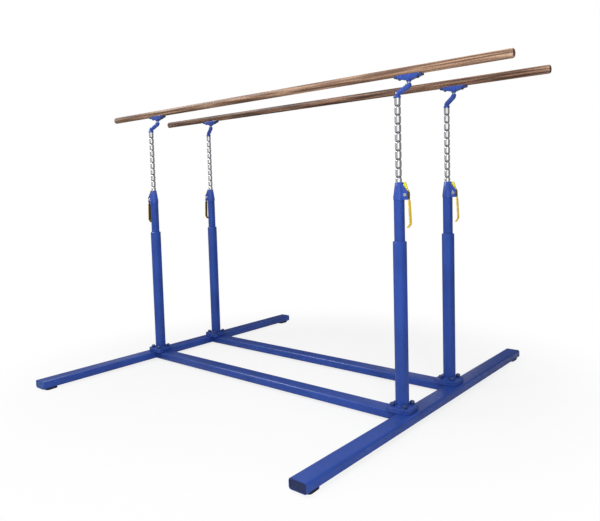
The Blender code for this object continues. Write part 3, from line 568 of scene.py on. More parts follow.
bore = UPPER_TUBE_RADIUS + TUBE_CLEARANCE
collar_foot = lower_high.z - COLLAR_LENGTH
lower_rings = [
    (LOWER_TUBE_RADIUS, flange_top - TUBE_ROOT),
    (LOWER_TUBE_RADIUS, flange_top + 0.010),
    *[(LOWER_TUBE_RADIUS - inset, lower_high.z - drop) for inset, drop in COLLAR_CHAMFER],
    (bore + BORE_EASE, lower_high.z),
    (bore, lower_high.z - BORE_EASE),
    (bore, collar_foot),
    (LOWER_TUBE_RADIUS - TUBE_WALL, collar_foot),
    (LOWER_TUBE_RADIUS - TUBE_WALL, flange_top),
    (LOWER_TUBE_RADIUS, flange_top - TUBE_ROOT),
]
lower_tube = add_turned("lower_tube_shape", lower_rings, TUBE_SIDES, closed=False)
shade(lower_tube)

bpy.ops.mesh.primitive_torus_add(
    location=(0, 0, flange_top + WELD_LIFT),
    major_radius=LOWER_TUBE_RADIUS + WELD_OUT,
    minor_radius=WELD_RADIUS,
    major_segments=WELD_STEPS,
    minor_segments=12,
)
weld = bpy.context.object
bpy.ops.object.transform_apply(location=True, rotation=True, scale=True)
bpy.ops.object.mode_set(mode="EDIT")
pick(
    weld,
    "VERT",
    lambda vert: vert.co.xy.length > LOWER_TUBE_RADIUS + 0.002
    and round(math.atan2(vert.co.y, vert.co.x) / math.tau * WELD_STEPS) % RIPPLE_STEPS
    < RIPPLE_STEPS / 2,
)
bpy.ops.transform.translate(value=(0, 0, -RIPPLE_DIP))
bpy.ops.transform.resize(value=(RIPPLE_SHARE, RIPPLE_SHARE, 1), center_override=(0, 0, 0))
shade(weld, degrees=60)
join_pieces(lower_tube, flange, weld)

upper_low, upper_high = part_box("upper_tube_near_right")
upper_rings = [
    (UPPER_TUBE_RADIUS - TUBE_WALL, upper_low.z),
    (UPPER_TUBE_RADIUS, upper_low.z),
    (UPPER_TUBE_RADIUS, upper_high.z),
    (UPPER_TUBE_RADIUS - TUBE_WALL, upper_high.z),
    (UPPER_TUBE_RADIUS - TUBE_WALL, upper_low.z),
]
upper_tube = add_turned("upper_tube_shape", upper_rings, TUBE_SIDES, closed=False)
shade(upper_tube)

columns = []
for side, side_sign in SIDES.items():
    for end, end_sign in {"left": -1, "right": 1}.items():
        tube_low, tube_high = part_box(f"lower_tube_{side}_{end}")
        middle = (tube_low + tube_high) / 2
        columns.append(
            SimpleNamespace(
                tag=f"{side}_{end}",
                side=side_sign,
                end=end_sign,
                turn=0 if end_sign > 0 else math.pi,
                foot=Vector((middle.x, middle.y, 0)),
            )
        )
for column in columns:
    piece = place_copy(
        lower_tube, "column_lower_" + column.tag, column.foot, (column.turn, "Z")
    )
    dress(piece, "base_frame", "blue", blue_coat, "lower_tube_" + column.tag)
    piece = place_copy(
        upper_tube, "column_upper_" + column.tag, column.foot, (column.turn, "Z")
    )
    dress(piece, "base_frame", "blue", blue_coat, "upper_tube_" + column.tag)
discard(lower_tube, upper_tube)

# Flange bolts: four bolts clamp each pair of flange plates. A hexagon cap of blue-black plastic with
# a thin round collar is pressed over each bolt head and its washer.
BOLT_ALONG = 0.0395
BOLT_ACROSS = 0.0455
CAP_COLOUR = (0.012, 0.034, 0.150)
CAP_PALE = (0.016, 0.044, 0.190)
CAP_EASE = 0.0009
CAP_LIFT = 0.0015
CAP_OUTLINE = [(0.0146, 0), (0.0146, 0.0150), (0.0136, 0.0185), (0.0105, 0.0205), (0.0004, 0.0212)]
CAP_COLLAR_OUTLINE = [(0.0160, 0), (0.0160, 0.0012), (0.0155, 0.0018), (0.0060, 0.0020)]

cap_plastic, tree, shader = new_material("cap_plastic", CAP_COLOUR, roughness=0.24)
drift = add_noise(tree, scale=60, detail=3)
feed(tree, shader, {"Base Color": add_ramp(tree, drift, (0.3, CAP_COLOUR), (0.7, CAP_PALE))})
add_bump(tree, shader, add_noise(tree, scale=800, detail=2), depth=0.0001, strength=0.4)

cap_collar = add_turned("cap_collar", CAP_COLLAR_OUTLINE, 32, foot=flange_top)
shade(cap_collar)
cap = add_turned("cap_shape", CAP_OUTLINE, 6, foot=flange_top + CAP_LIFT)
ease_edges(cap, CAP_EASE, steps=3, degrees=25)
shade(cap, degrees=40)
join_pieces(cap, cap_collar)

for column in columns:
    for corner_x, corner_y in ((-1, -1), (1, -1), (1, 1), (-1, 1)):
        place = column.foot + Vector((corner_x * BOLT_ALONG, corner_y * BOLT_ACROSS, 0))
        inward = "in" if corner_x * column.end < 0 else "out"
        forward = "front" if corner_y < 0 else "back"
        piece = place_copy(cap, f"bolt_cap_{column.tag}_{inward}_{forward}", place)
        dress(piece, "base_frame", "nylon", cap_plastic)
discard(cap)

# Lock heads: cast steel, pressed over the upper tube and powder coated. A skirt runs into a cone,
# and two cheeks on the outward side carry the lever between them.
CAST_BLUE = (0.020, 0.062, 0.335)
HEAD_TOP_RADIUS = 0.0216
HEAD_SKIRT_RADIUS = 0.0331
HEAD_SKIRT_HEIGHT = 0.023
HEAD_RIM_HEIGHT = 0.010
POST_RADIUS = 0.018
POST_BORE = POST_RADIUS + 0.0006
CHEEK_REACH = 0.0638
CHEEK_SKIRT_REACH = 0.0620
CHEEK_CORNER = 0.003
CHEEK_EASE = 0.0014
CHEEK_FRONT = 0.045
CHEEK_BACK = 0.012
HUB_RADIUS = 0.0116
PIVOT_OUT = 0.0464
PIVOT_Z = 1.328
PIVOT_HOLE_RADIUS = 0.0053
SLOT_HALF = 0.00885
HEAD_HALF = 0.01465
SLOT_FLOOR = 1.3188
SLOT_OUT = 0.0351
SLOT_MOUTH = 0.0234
SLOT_END = 0.08


def carve(piece, tool, kind):
    """Join or cut the piece with a tool, which is then thrown away."""
    bpy.ops.object.mode_set(mode="OBJECT")
    choose(piece)
    apply_modifier(piece, "BOOLEAN", operation=kind, solver="EXACT", object=tool)
    bpy.data.objects.remove(tool)


def add_rod(radius, place, length, sides, turn=(0, 0, 0), stretch=(1, 1, 1)):
    """A round bar to cut with, centred on a place."""
    bpy.ops.mesh.primitive_cylinder_add(
        vertices=sides, radius=radius, depth=length, location=place, rotation=turn, scale=stretch
    )
    return bpy.context.object


cast_coat = powder_coat("cast_blue_coat", CAST_BLUE, roughness=0.26, gloss=0.5)

head_low, head_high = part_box("lock_head_near_right")
skirt_top = head_low.z + HEAD_SKIRT_HEIGHT
head_rings = [
    (HEAD_SKIRT_RADIUS - 0.001, head_low.z),
    (HEAD_SKIRT_RADIUS, head_low.z + 0.001),
    (HEAD_SKIRT_RADIUS, skirt_top - 0.003),
    (HEAD_SKIRT_RADIUS - 0.0003, skirt_top),
    (HEAD_SKIRT_RADIUS - 0.0012, skirt_top + 0.004),
    (HEAD_TOP_RADIUS + 0.0002, head_high.z - 0.0015),
    (HEAD_TOP_RADIUS - 0.0005, head_high.z - 0.0004),
    (HEAD_TOP_RADIUS - 0.0014, head_high.z),
]
head = add_turned("head_shape", head_rings, TUBE_SIDES)
bpy.ops.object.mode_set(mode="OBJECT")

cheek_side = [
    (0.0, head_low.z + 0.002),
    (CHEEK_SKIRT_REACH, head_low.z + 0.002),
    (CHEEK_REACH, PIVOT_Z - HUB_RADIUS),
    (CHEEK_REACH, PIVOT_Z + HUB_RADIUS + 0.002),
    (CHEEK_REACH - HUB_RADIUS / 2, PIVOT_Z + 2 * HUB_RADIUS + 0.002),
    (HEAD_TOP_RADIUS, head_high.z - 0.0012),
    (0.0, head_high.z - 0.0012),
]
bpy.ops.mesh.primitive_circle_add(vertices=len(cheek_side), radius=0.1, fill_type="NGON")
cheeks = bpy.context.object
for corner, (corner_out, corner_height) in zip(cheeks.data.vertices, cheek_side):
    corner.co = (corner_out, -HEAD_HALF, corner_height)
bpy.ops.object.mode_set(mode="EDIT")
bpy.ops.mesh.select_mode(type="EDGE")
bpy.ops.mesh.select_all(action="SELECT")
bpy.ops.mesh.extrude_region_move(TRANSFORM_OT_translate={"value": (0, 2 * HEAD_HALF, 0)})
bpy.ops.mesh.select_all(action="SELECT")
bpy.ops.mesh.normals_make_consistent(inside=False)
round_edges(
    cheeks,
    CHEEK_CORNER,
    4,
    lambda edge: runs_along(edge, 1) and edge.verts[0].co.x > CHEEK_FRONT,
)
round_edges(
    cheeks,
    CHEEK_EASE,
    3,
    lambda edge: not runs_along(edge, 1) and max(vert.co.x for vert in edge.verts) > CHEEK_BACK,
)
carve(head, cheeks, "UNION")

slot_top = head_high.z - HEAD_RIM_HEIGHT
for slot_low, slot_high in (
    ((0, -SLOT_HALF, SLOT_FLOOR), (SLOT_OUT, SLOT_HALF, slot_top)),
    ((SLOT_MOUTH, -SLOT_HALF, SLOT_FLOOR), (SLOT_END, SLOT_HALF, head_high.z + 0.002)),
    ((SLOT_OUT, -SLOT_HALF, head_low.z - 0.01), (SLOT_END, SLOT_HALF, slot_top)),
):
    carve(head, add_block("slot", slot_low, slot_high), "DIFFERENCE")
bore_rings = [
    (bore, head_low.z - 0.01),
    (bore, SLOT_FLOOR - 0.003),
    (POST_BORE, SLOT_FLOOR - 0.003),
    (POST_BORE, head_high.z + 0.01),
]
carve(head, add_turned("head_bore", bore_rings, TUBE_SIDES), "DIFFERENCE")
pivot_hole = add_rod(
    PIVOT_HOLE_RADIUS, (PIVOT_OUT, 0, PIVOT_Z), length=0.05, sides=24, turn=(math.pi / 2, 0, 0)
)
carve(head, pivot_hole, "DIFFERENCE")
shade(head, degrees=30)

for column in columns:
    piece = place_copy(head, "cast_head_" + column.tag, column.foot, (column.turn, "Z"))
    dress(piece, "base_frame", "blue", cast_coat, "lock_head_" + column.tag)
discard(head)

# Pivot bolts: zinc-plated hexagon bolt through both cheeks, with a washer on each side and a
# locking nut whose thread end stands a little proud.
ZINC = (0.58, 0.59, 0.60)
ZINC_DULL = (0.46, 0.47, 0.48)
ZINC_PALE = (0.68, 0.68, 0.67)
HEX_REACH = 0.0098
HEX_OUTLINE = [
    (HEX_REACH * 0.93, 0),
    (HEX_REACH, 0.0006),
    (HEX_REACH, 0.0052),
    (HEX_REACH * 0.90, 0.0062),
]
WASHER_OUTLINE = [(0.0105, -0.0014), (0.0105, -0.0002), (0.0102, 0), (0.005, 0)]
WASHER_THICKNESS = 0.0015
THREAD_RADIUS = 0.0050
THREAD_CORE = 0.0044
THREAD_PITCH = 0.0008
THREAD_END = 0.0091

bolt_zinc, tree, shader = new_material("bolt_zinc", ZINC, metallic=1.0, roughness=0.34)
patina = add_noise(tree, scale=160, detail=5)
zinc_tone = add_ramp(tree, patina, (0.3, ZINC_DULL), (0.7, ZINC_PALE))
zinc_shine = spread(tree, patina, *NOISE_SPAN, 0.24, 0.5)
feed(tree, shader, {"Base Color": zinc_tone, "Roughness": zinc_shine})
add_bump(tree, shader, patina, depth=0.0001, strength=0.3)

half_bolt = add_turned("hex_shape", HEX_OUTLINE, 6)
shade(half_bolt, degrees=20)
bolt_washer = add_turned("bolt_washer", WASHER_OUTLINE, 32)
shade(bolt_washer, degrees=30)
thread_rings = [(THREAD_RADIUS, -0.02), (THREAD_RADIUS, 0.006)]
for thread in range(3):
    thread_rings += [
        (THREAD_CORE, 0.0063 + thread * THREAD_PITCH),
        (THREAD_RADIUS, 0.0067 + thread * THREAD_PITCH),
    ]
thread_rings += [(0.0042, THREAD_END), (0.0005, THREAD_END)]
bolt_thread = add_turned("bolt_thread", thread_rings, 24)
shade(bolt_thread, degrees=30)
join_pieces(half_bolt, bolt_washer, bolt_thread)

for column in columns:
    pivot = column.foot + Vector((column.end * PIVOT_OUT, 0, PIVOT_Z))
    halves = []
    for facing in (1, -1):
        place = pivot + Vector((0, -facing * (HEAD_HALF + WASHER_THICKNESS), 0))
        half_turn = (facing * math.pi / 2, "X")
        halves.append(place_copy(half_bolt, "bolt_and_nut_" + column.tag, place, half_turn))
    join_pieces(*halves)
    dress(halves[0], "base_frame", "zinc", bolt_zinc, "pivot_bolt_" + column.tag)
discard(half_bolt)

# Levers: a flat steel strap and a pawl plate, welded and powder coated yellow. The coat is lemon
# above the pivot, with painted shade round the hub between the cheeks and on the inner face. The
# guide bush and slide foot are black nylon and the return spring is bare steel. All keep their CAD
# shapes.
YELLOW = (0.78, 0.54, 0.03)
LEMON = (0.74, 0.70, 0.045)
LEMON_HEIGHTS = (1.345, 1.380)
HUB_SHADE = (0.10, 0.13, 0.4)
HUB_SHADE_HEIGHTS = (1.29, 1.37)
INNER_SHADE = 0.11
INNER_FACING = (-0.7, -0.5)
NYLON_BLACK = (0.02, 0.02, 0.023)
SPRING_GREY = (0.42, 0.42, 0.43)
WHITE = (1, 1, 1)


def add_coordinate(tree, axis, kind="Object"):
    """The piece's own X, Y or Z, or with Normal how far its surface faces that way."""
    whole = add_node(tree, "TexCoord", {}).outputs[kind]
    return add_node(tree, "SeparateXYZ", {"Vector": whole}).outputs[axis]


def add_mix(tree, way, share, first, second):
    """Mix two colours, with the second on top."""
    inputs = {"Factor": share, "A": first, "B": second}
    mix = add_node(tree, "Mix", inputs, data_type="RGBA", blend_type=way)
    return mix.outputs["Result"]


def dim(tree, colour, share):
    """A colour times a value."""
    scaled = add_node(tree, "VectorMath", {0: colour, "Scale": share}, operation="SCALE")
    return scaled.outputs["Vector"]


def paint_node(node, material):
    """Give a CAD node its finish in every material slot."""
    for material_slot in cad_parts[node].material_slots:
        material_slot.material = material


lever_yellow = powder_coat("yellow_lever_coat", YELLOW, roughness=0.38, gloss=0.25)
tree = lever_yellow.node_tree
shader = tree.nodes["Principled BSDF"]
coat = shader.inputs["Base Color"].links[0].from_socket
height = add_coordinate(tree, "Z")
toned = add_mix(tree, "MIX", spread(tree, height, *LEMON_HEIGHTS), coat, (*LEMON, 1))
# Painted shade round the hub, where the cheeks shade the strap.
near_hub = spread(tree, height, *HUB_SHADE_HEIGHTS)
hub_shade = add_ramp(tree, near_hub, (0.08, WHITE), (0.20, HUB_SHADE), (0.68, HUB_SHADE), (0.80, WHITE))
toned = add_mix(tree, "MULTIPLY", 1.0, toned, hub_shade)
# Painted shade on the strap's inner face, which faces the column.
outward_side = add_math(tree, "SIGN", add_coordinate(tree, "X"))
facing_out = add_math(tree, "MULTIPLY", outward_side, add_coordinate(tree, "X", "Normal"))
inner_share = spread(tree, facing_out, *INNER_FACING, INNER_SHADE, 1.0)
feed(tree, shader, {"Base Color": dim(tree, toned, inner_share)})

black_nylon, tree, shader = new_material("black_nylon", NYLON_BLACK)
add_bump(tree, shader, add_noise(tree, scale=600, detail=2), depth=0.0001, strength=0.4)
spring_steel, tree, shader = new_material("spring_steel", SPRING_GREY, metallic=1.0, roughness=0.3)
add_bump(tree, shader, add_noise(tree, scale=900, detail=2), depth=0.0001, strength=0.3)

for column in columns:
    paint_node("lever_" + column.tag, lever_yellow)
    paint_node("guide_bush_" + column.tag, black_nylon)
    paint_node("slide_foot_" + column.tag, black_nylon)
    paint_node("return_spring_" + column.tag, spring_steel)

# Posts: hard-chromed steel bar, turned with a ring groove every 50 mm for the pawl. The lands
# between the grooves are ground bright with fine rings, and the grooves get painted shade.
CHROME = (0.60, 0.61, 0.63)
CHROME_PALE = (0.76, 0.77, 0.79)
GROOVE_SHADE = (0.30, 0.30, 0.31)
GROOVE_SHADE_THIN = (0.62, 0.62, 0.62)
GROOVE_PITCH = 0.050
FIRST_GROOVE = 1.330266
GROOVE_COUNT = 11
GROOVE_OUTLINE = [
    (0, 0.0110),
    (0.0003, 0.0080),
    (0.0008, 0.0062),
    (0.0016, 0.0052),
    (0.0033, 0.0033),
    (0.0038, 0.0026),
]
TAIL_RADIUS = 0.0127
TAIL_TOP = 1.1738
POST_SHOULDER = 1.8752
SPIGOT_RADIUS = 0.0115
TURNING_STRETCH = (1, 1, 60)

post_chrome, tree, shader = new_material("post_chrome", CHROME, metallic=1.0, roughness=0.12)
turning = add_noise(tree, scale=22, detail=3, stretch=TURNING_STRETCH)
add_bump(tree, shader, turning, depth=0.00005, strength=0.15)
above_groove = add_math(tree, "SUBTRACT", add_coordinate(tree, "Z"), FIRST_GROOVE)
off_groove = add_math(tree, "PINGPONG", above_groove, GROOVE_PITCH / 2)
land_share = add_math(tree, "DIVIDE", off_groove, GROOVE_PITCH / 2)
smear = add_noise(tree, scale=30, detail=5, stretch=(1, 1, 0.5))
chrome_tone = add_ramp(tree, smear, (0.3, CHROME), (0.65, CHROME_PALE))
# Painted shade in the grooves: the chrome's colour is darker there.
groove_shade_tone = add_ramp(tree, land_share, (0.16, GROOVE_SHADE), (0.25, GROOVE_SHADE_THIN), (0.34, WHITE))
groove_shaded = add_mix(tree, "MULTIPLY", 1.0, chrome_tone, groove_shade_tone)
chrome_shine = spread(tree, turning, *NOISE_SPAN, 0.09, 0.2)
feed(tree, shader, {"Base Color": groove_shaded, "Roughness": chrome_shine})

post_low, post_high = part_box("post_near_right")
post_rings = [
    (TAIL_RADIUS, post_low.z),
    (TAIL_RADIUS, TAIL_TOP),
    (POST_RADIUS - 0.0005, TAIL_TOP),
    (POST_RADIUS, TAIL_TOP + 0.0005),
]
for groove in range(GROOVE_COUNT):
    middle = FIRST_GROOVE + groove * GROOVE_PITCH
    post_rings += [(POST_RADIUS - depth, middle - half) for depth, half in GROOVE_OUTLINE]
    post_rings += [(POST_RADIUS - depth, middle + half) for depth, half in reversed(GROOVE_OUTLINE)]
post_rings += [
    (POST_RADIUS, POST_SHOULDER - 0.0006),
    (POST_RADIUS - 0.0006, POST_SHOULDER),
    (SPIGOT_RADIUS, POST_SHOULDER),
    (SPIGOT_RADIUS, post_high.z - 0.0015),
    (SPIGOT_RADIUS - 0.0015, post_high.z),
]
post = add_turned("post_shape", post_rings, 48)
shade(post, degrees=30)
for column in columns:
    piece = place_copy(post, "grooved_post_" + column.tag, column.foot)
    dress(piece, "post_assembly_" + column.tag, "chrome", post_chrome, "post_" + column.tag)
discard(post)

# Arms: 32 mm round bar, bent twice into a swan neck and welded into a thick collar that turns on
# the post's spigot. Powder coated blue, with a bare neck below the saddle and two black clamp screws.
ARM_REACH = 0.065
ARM_SWING = math.radians(21)
ARM_RADIUS = 0.0158
ARM_FOOT = 1.8755
ARM_TOP = 1.9619
COLLAR_RADIUS = 0.0195
COLLAR_HEIGHT = 0.0127
ARM_BEND_RADIUS = 0.018
STEM_HEIGHT = 0.014
NECK_HEIGHT = 0.012
NECK_RADIUS = 0.011
PIN_RADIUS = 0.0095
PIN_TOP = ARM_TOP + 0.0175
SPIGOT_LENGTH = 0.020
CLAMP_OUTLINE = [(0.0048, 0), (0.0048, 0.0042), (0.0043, 0.0048), (0.0026, 0.0048), (0.0026, 0.0020)]
NECK_BLUE_STEEL = (0.34, 0.40, 0.58)
SCREW_BLACK = (0.020, 0.021, 0.026)

across = ARM_REACH - 2 * ARM_BEND_RADIUS
rise = ARM_TOP - ARM_FOOT - STEM_HEIGHT - COLLAR_HEIGHT
bend = math.atan2(across, rise) + math.asin(2 * ARM_BEND_RADIUS / math.hypot(across, rise))
bend_foot = ARM_FOOT + COLLAR_HEIGHT
arm_rings = [
    (SPIGOT_RADIUS + 0.0003, ARM_FOOT + SPIGOT_LENGTH),
    (SPIGOT_RADIUS + 0.0003, ARM_FOOT + 0.0004),
    (SPIGOT_RADIUS + 0.0007, ARM_FOOT),
    (COLLAR_RADIUS - 0.0010, ARM_FOOT),
    (COLLAR_RADIUS, ARM_FOOT + 0.0010),
    (COLLAR_RADIUS, bend_foot - 0.0030),
    (COLLAR_RADIUS - 0.0009, bend_foot - 0.0018),
    (ARM_RADIUS + 0.0012, bend_foot - 0.0012),
    (ARM_RADIUS, bend_foot),
]
arm = add_turned("arm_shape", arm_rings, 40, closed=False)
pick(arm, "EDGE", lambda edge: edge.is_boundary and edge.verts[0].co.xy.length > ARM_RADIUS - HAIR)
bpy.ops.mesh.spin(
    steps=12, angle=bend, center=(ARM_BEND_RADIUS, 0, bend_foot), axis=(0, -1, 0)
)
straight_length = math.sqrt(across**2 + rise**2 - (2 * ARM_BEND_RADIUS) ** 2)
straight = (straight_length * math.sin(bend), 0, straight_length * math.cos(bend))
bpy.ops.mesh.extrude_region_move(TRANSFORM_OT_translate={"value": straight})
bpy.ops.mesh.spin(
    steps=12,
    angle=-bend,
    center=(ARM_REACH - ARM_BEND_RADIUS, 0, bend_foot + rise),
    axis=(0, -1, 0),
)
stem_radius = ARM_RADIUS
for next_radius, lift in (
    (ARM_RADIUS, STEM_HEIGHT - NECK_HEIGHT - 0.0008),
    (ARM_RADIUS - 0.0008, 0.0008),
    (NECK_RADIUS + 0.0006, 0.0012),
):
    bpy.ops.mesh.extrude_region_move(TRANSFORM_OT_translate={"value": (0, 0, lift)})
    share = next_radius / stem_radius
    bpy.ops.transform.resize(value=(share, share, 1), center_override=(ARM_REACH, 0, 0))
    stem_radius = next_radius
bpy.ops.mesh.edge_face_add()
pick(arm, "EDGE", lambda edge: edge.is_boundary)
bpy.ops.mesh.edge_face_add()
bpy.ops.mesh.select_all(action="SELECT")
bpy.ops.mesh.remove_doubles(threshold=0.00001)
bpy.ops.mesh.normals_make_consistent(inside=False)
shade(arm)

pin_chrome, tree, shader = new_material(
    "pin_chrome", NECK_BLUE_STEEL, metallic=1.0, roughness=0.22
)
turning = add_noise(tree, scale=22, detail=3, stretch=TURNING_STRETCH)
add_bump(tree, shader, turning, depth=0.00005, strength=0.15)
screw_black, tree, shader = new_material("screw_black", SCREW_BLACK, roughness=0.32)
blacking = add_noise(tree, scale=240, detail=4)
feed(tree, shader, {"Roughness": spread(tree, blacking, *NOISE_SPAN, 0.24, 0.45)})
add_bump(tree, shader, blacking, depth=0.0001, strength=0.3)

neck_rings = [
    (NECK_RADIUS, ARM_TOP - NECK_HEIGHT - 0.0010),
    (NECK_RADIUS, ARM_TOP - 0.0008),
    (NECK_RADIUS - 0.0008, ARM_TOP),
    (PIN_RADIUS, ARM_TOP),
    (PIN_RADIUS, PIN_TOP - 0.0010),
    (PIN_RADIUS - 0.0010, PIN_TOP),
]
neck = add_turned("neck_shape", neck_rings, 40)
shade(neck)
clamp = add_turned("clamp_shape", CLAMP_OUTLINE, 24)
shade(clamp)
clamp_places = {
    "collar": Vector((-COLLAR_RADIUS + 0.0012, 0, ARM_FOOT + COLLAR_HEIGHT / 2)),
    "stem": Vector((ARM_REACH - ARM_RADIUS + 0.0006, 0, ARM_TOP - NECK_HEIGHT - 0.0055)),
}
for column in columns:
    arm_body = f"arm_{column.tag}_body"
    swing = Matrix.Rotation(-column.side * ARM_SWING, 3, "Z")
    swing_turn = (-column.side * ARM_SWING, "Z")
    column.stem = column.foot + swing @ Vector((ARM_REACH, 0, 0))
    piece = place_copy(arm, "swan_neck_" + column.tag, column.foot, swing_turn)
    dress(piece, arm_body, "blue", cast_coat, "arm_" + column.tag)
    piece = place_copy(neck, "stem_pin_" + column.tag, column.stem)
    dress(piece, arm_body, "zinc", pin_chrome)
    for clamp_name, clamp_place in clamp_places.items():
        name = f"clamp_screw_{clamp_name}_{column.tag}"
        place = column.foot + swing @ clamp_place
        piece = place_copy(clamp, name, place, swing_turn, (-math.pi / 2, "Y"))
        dress(piece, arm_body, "zinc", screw_black)
discard(arm, neck, clamp)

# Saddles: a cast cradle shaped to the rail's underside, with a deep web that runs down to the boss
# on the arm's stem. Blue-black plastic shoes close its tips, and a black hexagon screw near each
# end goes up into the rail.
SADDLE_HALF = 0.088
SADDLE_HALF_WIDTH = 0.019
SADDLE_TIP = 0.009
SADDLE_BELLY = 0.030
SADDLE_LIP = 0.006
SADDLE_TAPER = 0.105
SADDLE_CURVE = 1.25
SADDLE_EASE = 0.0022
SADDLE_STATIONS = 16
RAIL_UNDERSIDE = 1.9955
RAIL_HEIGHT = 0.050
RAIL_WIDTH = 0.040
SEAT_GAP = 0.0003
BOSS_RADIUS = 0.0145
PIN_HOLE_RADIUS = 0.0099
SHOE_START = 0.067
SHOE_GAP = 0.0005
SIDE_SCREW_PLACE = Vector((0.072, 0.0174, RAIL_UNDERSIDE - 0.0018))
SIDE_SCREW_OUTLINE = [
    (0.0046, 0),
    (0.0046, 0.0006),
    (0.0038, 0.0011),
    (0.0020, 0.0011),
    (0.0020, 0.0003),
]
SCREW_OUT = 0.0585
SCREW_SEAT = RAIL_UNDERSIDE - SEAT_GAP - 0.0145
SCREW_LEAN = math.radians(14)
SCREW_OUTLINE = [(0.0074, 0.0012), (0.0076, 0.0018), (0.0076, 0.0058), (0.0068, 0.0066)]
SCREW_WASHER_OUTLINE = [(0.0098, 0), (0.0098, 0.0010), (0.0094, 0.0014), (0.004, 0.0014)]

saddle = add_block(
    "saddle_shape",
    (-SADDLE_HALF, -SADDLE_HALF_WIDTH, RAIL_UNDERSIDE - SEAT_GAP - SADDLE_TIP),
    (SADDLE_HALF, SADDLE_HALF_WIDTH, RAIL_UNDERSIDE + SADDLE_LIP),
)
for station in range(1, SADDLE_STATIONS * 2):
    station_x = -SADDLE_HALF + station * SADDLE_HALF / SADDLE_STATIONS
    bpy.ops.mesh.select_all(action="SELECT")
    bpy.ops.mesh.bisect(plane_co=(station_x, 0, 0), plane_no=(1, 0, 0))
for station in range(-SADDLE_STATIONS, SADDLE_STATIONS + 1):
    out_share = abs(station) / SADDLE_STATIONS
    x = station / SADDLE_STATIONS * SADDLE_HALF
    pick(saddle, "VERT", lambda vert: abs(vert.co.x - x) < HAIR and vert.co.z < RAIL_UNDERSIDE)
    drop = (SADDLE_BELLY - SADDLE_TIP) * (1 - out_share) ** SADDLE_CURVE
    bpy.ops.transform.translate(value=(0, 0, -drop))
    pick(saddle, "VERT", lambda vert: abs(vert.co.x - x) < HAIR)
    width_share = 1 - SADDLE_TAPER * out_share**2
    bpy.ops.transform.resize(value=(1, width_share, 1), center_override=(0, 0, RAIL_UNDERSIDE))
ease_edges(saddle, SADDLE_EASE, steps=3, degrees=50)
boss_rings = [
    (BOSS_RADIUS - 0.001, ARM_TOP + SEAT_GAP),
    (BOSS_RADIUS, ARM_TOP + SEAT_GAP + 0.001),
    (BOSS_RADIUS, RAIL_UNDERSIDE - 0.006),
]
carve(saddle, add_turned("boss", boss_rings, 48), "UNION")
rail_centre = (0, 0, RAIL_UNDERSIDE + RAIL_HEIGHT / 2)
rail_stretch = (RAIL_HEIGHT / 2 + SEAT_GAP, RAIL_WIDTH / 2 + SEAT_GAP, 1)
rail_bed = add_rod(
    1, rail_centre, length=0.4, sides=72, turn=(0, math.pi / 2, 0), stretch=rail_stretch
)
carve(saddle, rail_bed, "DIFFERENCE")
pin_hole = add_rod(PIN_HOLE_RADIUS, (0, 0, ARM_TOP - 0.0015), length=0.04, sides=40)
carve(saddle, pin_hole, "DIFFERENCE")
shade(saddle)

shoe = place_copy(saddle, "shoe_shape", Vector())
for piece, cut, keep_outer in (
    (shoe, SHOE_START, True),
    (saddle, SHOE_START - SHOE_GAP, False),
    (saddle, -SHOE_START + SHOE_GAP, True),
):
    choose(piece)
    bpy.ops.object.mode_set(mode="EDIT")
    bpy.ops.mesh.select_all(action="SELECT")
    bpy.ops.mesh.bisect(
        plane_co=(cut, 0, 0),
        plane_no=(1, 0, 0),
        use_fill=True,
        clear_inner=keep_outer,
        clear_outer=not keep_outer,
    )
    bpy.ops.object.mode_set(mode="OBJECT")

side_screw = add_turned("side_screw_shape", SIDE_SCREW_OUTLINE, 20)
shade(side_screw)
side_screws = []
for out_sign in (-1, 1):
    for face_sign in (-1, 1):
        place = SIDE_SCREW_PLACE * Vector((out_sign, face_sign, 1))
        face_turn = (-face_sign * math.pi / 2, "X")
        side_screws.append(place_copy(side_screw, "side_screw", place, face_turn))
join_pieces(*side_screws)

screw = add_turned("screw_shape", SCREW_OUTLINE, 6)
shade(screw, degrees=20)
screw_washer = add_turned("screw_washer", SCREW_WASHER_OUTLINE, 32)
shade(screw_washer, degrees=30)
join_pieces(screw, screw_washer)

for column in columns:
    saddle_body = f"saddle_{column.tag}_body"
    piece = place_copy(saddle, "cradle_" + column.tag, column.stem)
    dress(piece, saddle_body, "blue", cast_coat, "saddle_" + column.tag)
    piece = place_copy(side_screws[0], "side_screws_" + column.tag, column.stem)
    dress(piece, saddle_body, "zinc", screw_black)
    for end, end_sign in {"inner": -1, "outer": 1}.items():
        shoe_turn = (0 if end_sign > 0 else math.pi, "Z")
        piece = place_copy(shoe, f"end_shoe_{end}_{column.tag}", column.stem, shoe_turn)
        dress(piece, saddle_body, "nylon", cap_plastic)
        name = f"saddle_screw_{end}_{column.tag}"
        place = column.stem + Vector((end_sign * SCREW_OUT, 0, SCREW_SEAT))
        piece = place_copy(screw, name, place, (-end_sign * SCREW_LEAN, "Y"), (math.pi, "X"))
        dress(piece, saddle_body, "zinc", screw_black)
discard(saddle, shoe, side_screw, side_screws[0], screw)

# Rails: oval bars of laminated wood with a rounded nose at each end, sanded fine and oiled. The
# strips run lengthwise. A pale band runs round the nose, partly sanded wood and partly a painted
# highlight, and the end face is dark end grain.
RAIL_NOSE = 0.010
RAIL_MEAN_RADIUS = 0.022
RAIL_MID_RINGS = (-1.2, -0.6, 0.0, 0.6, 1.2)
WOOD_ENDS = (1.55, 1.75)
WOOD_LENGTH = (-1.75, 1.2)
WOOD_TONE_AND_LIGHT = (0.88, 1.08)
STRIP_STRETCH = (2.4, 26, 110)
GRAIN_STRETCH = (3, 130, 200)
GRAIN_DARK = (0.55, 0.5, 0.46)
GRAIN_PALE = (1.2, 1.18, 1.12)
END_STOPS = [
    (0.0, WHITE),
    (0.6, (1.15, 1.2, 1.22)),
    (0.90, (1.28, 1.35, 1.38)),
    (0.93, (1.5, 1.7, 2.0)),
    (0.985, (1.5, 1.7, 2.0)),
    (0.995, (0.4, 0.38, 0.37)),
]


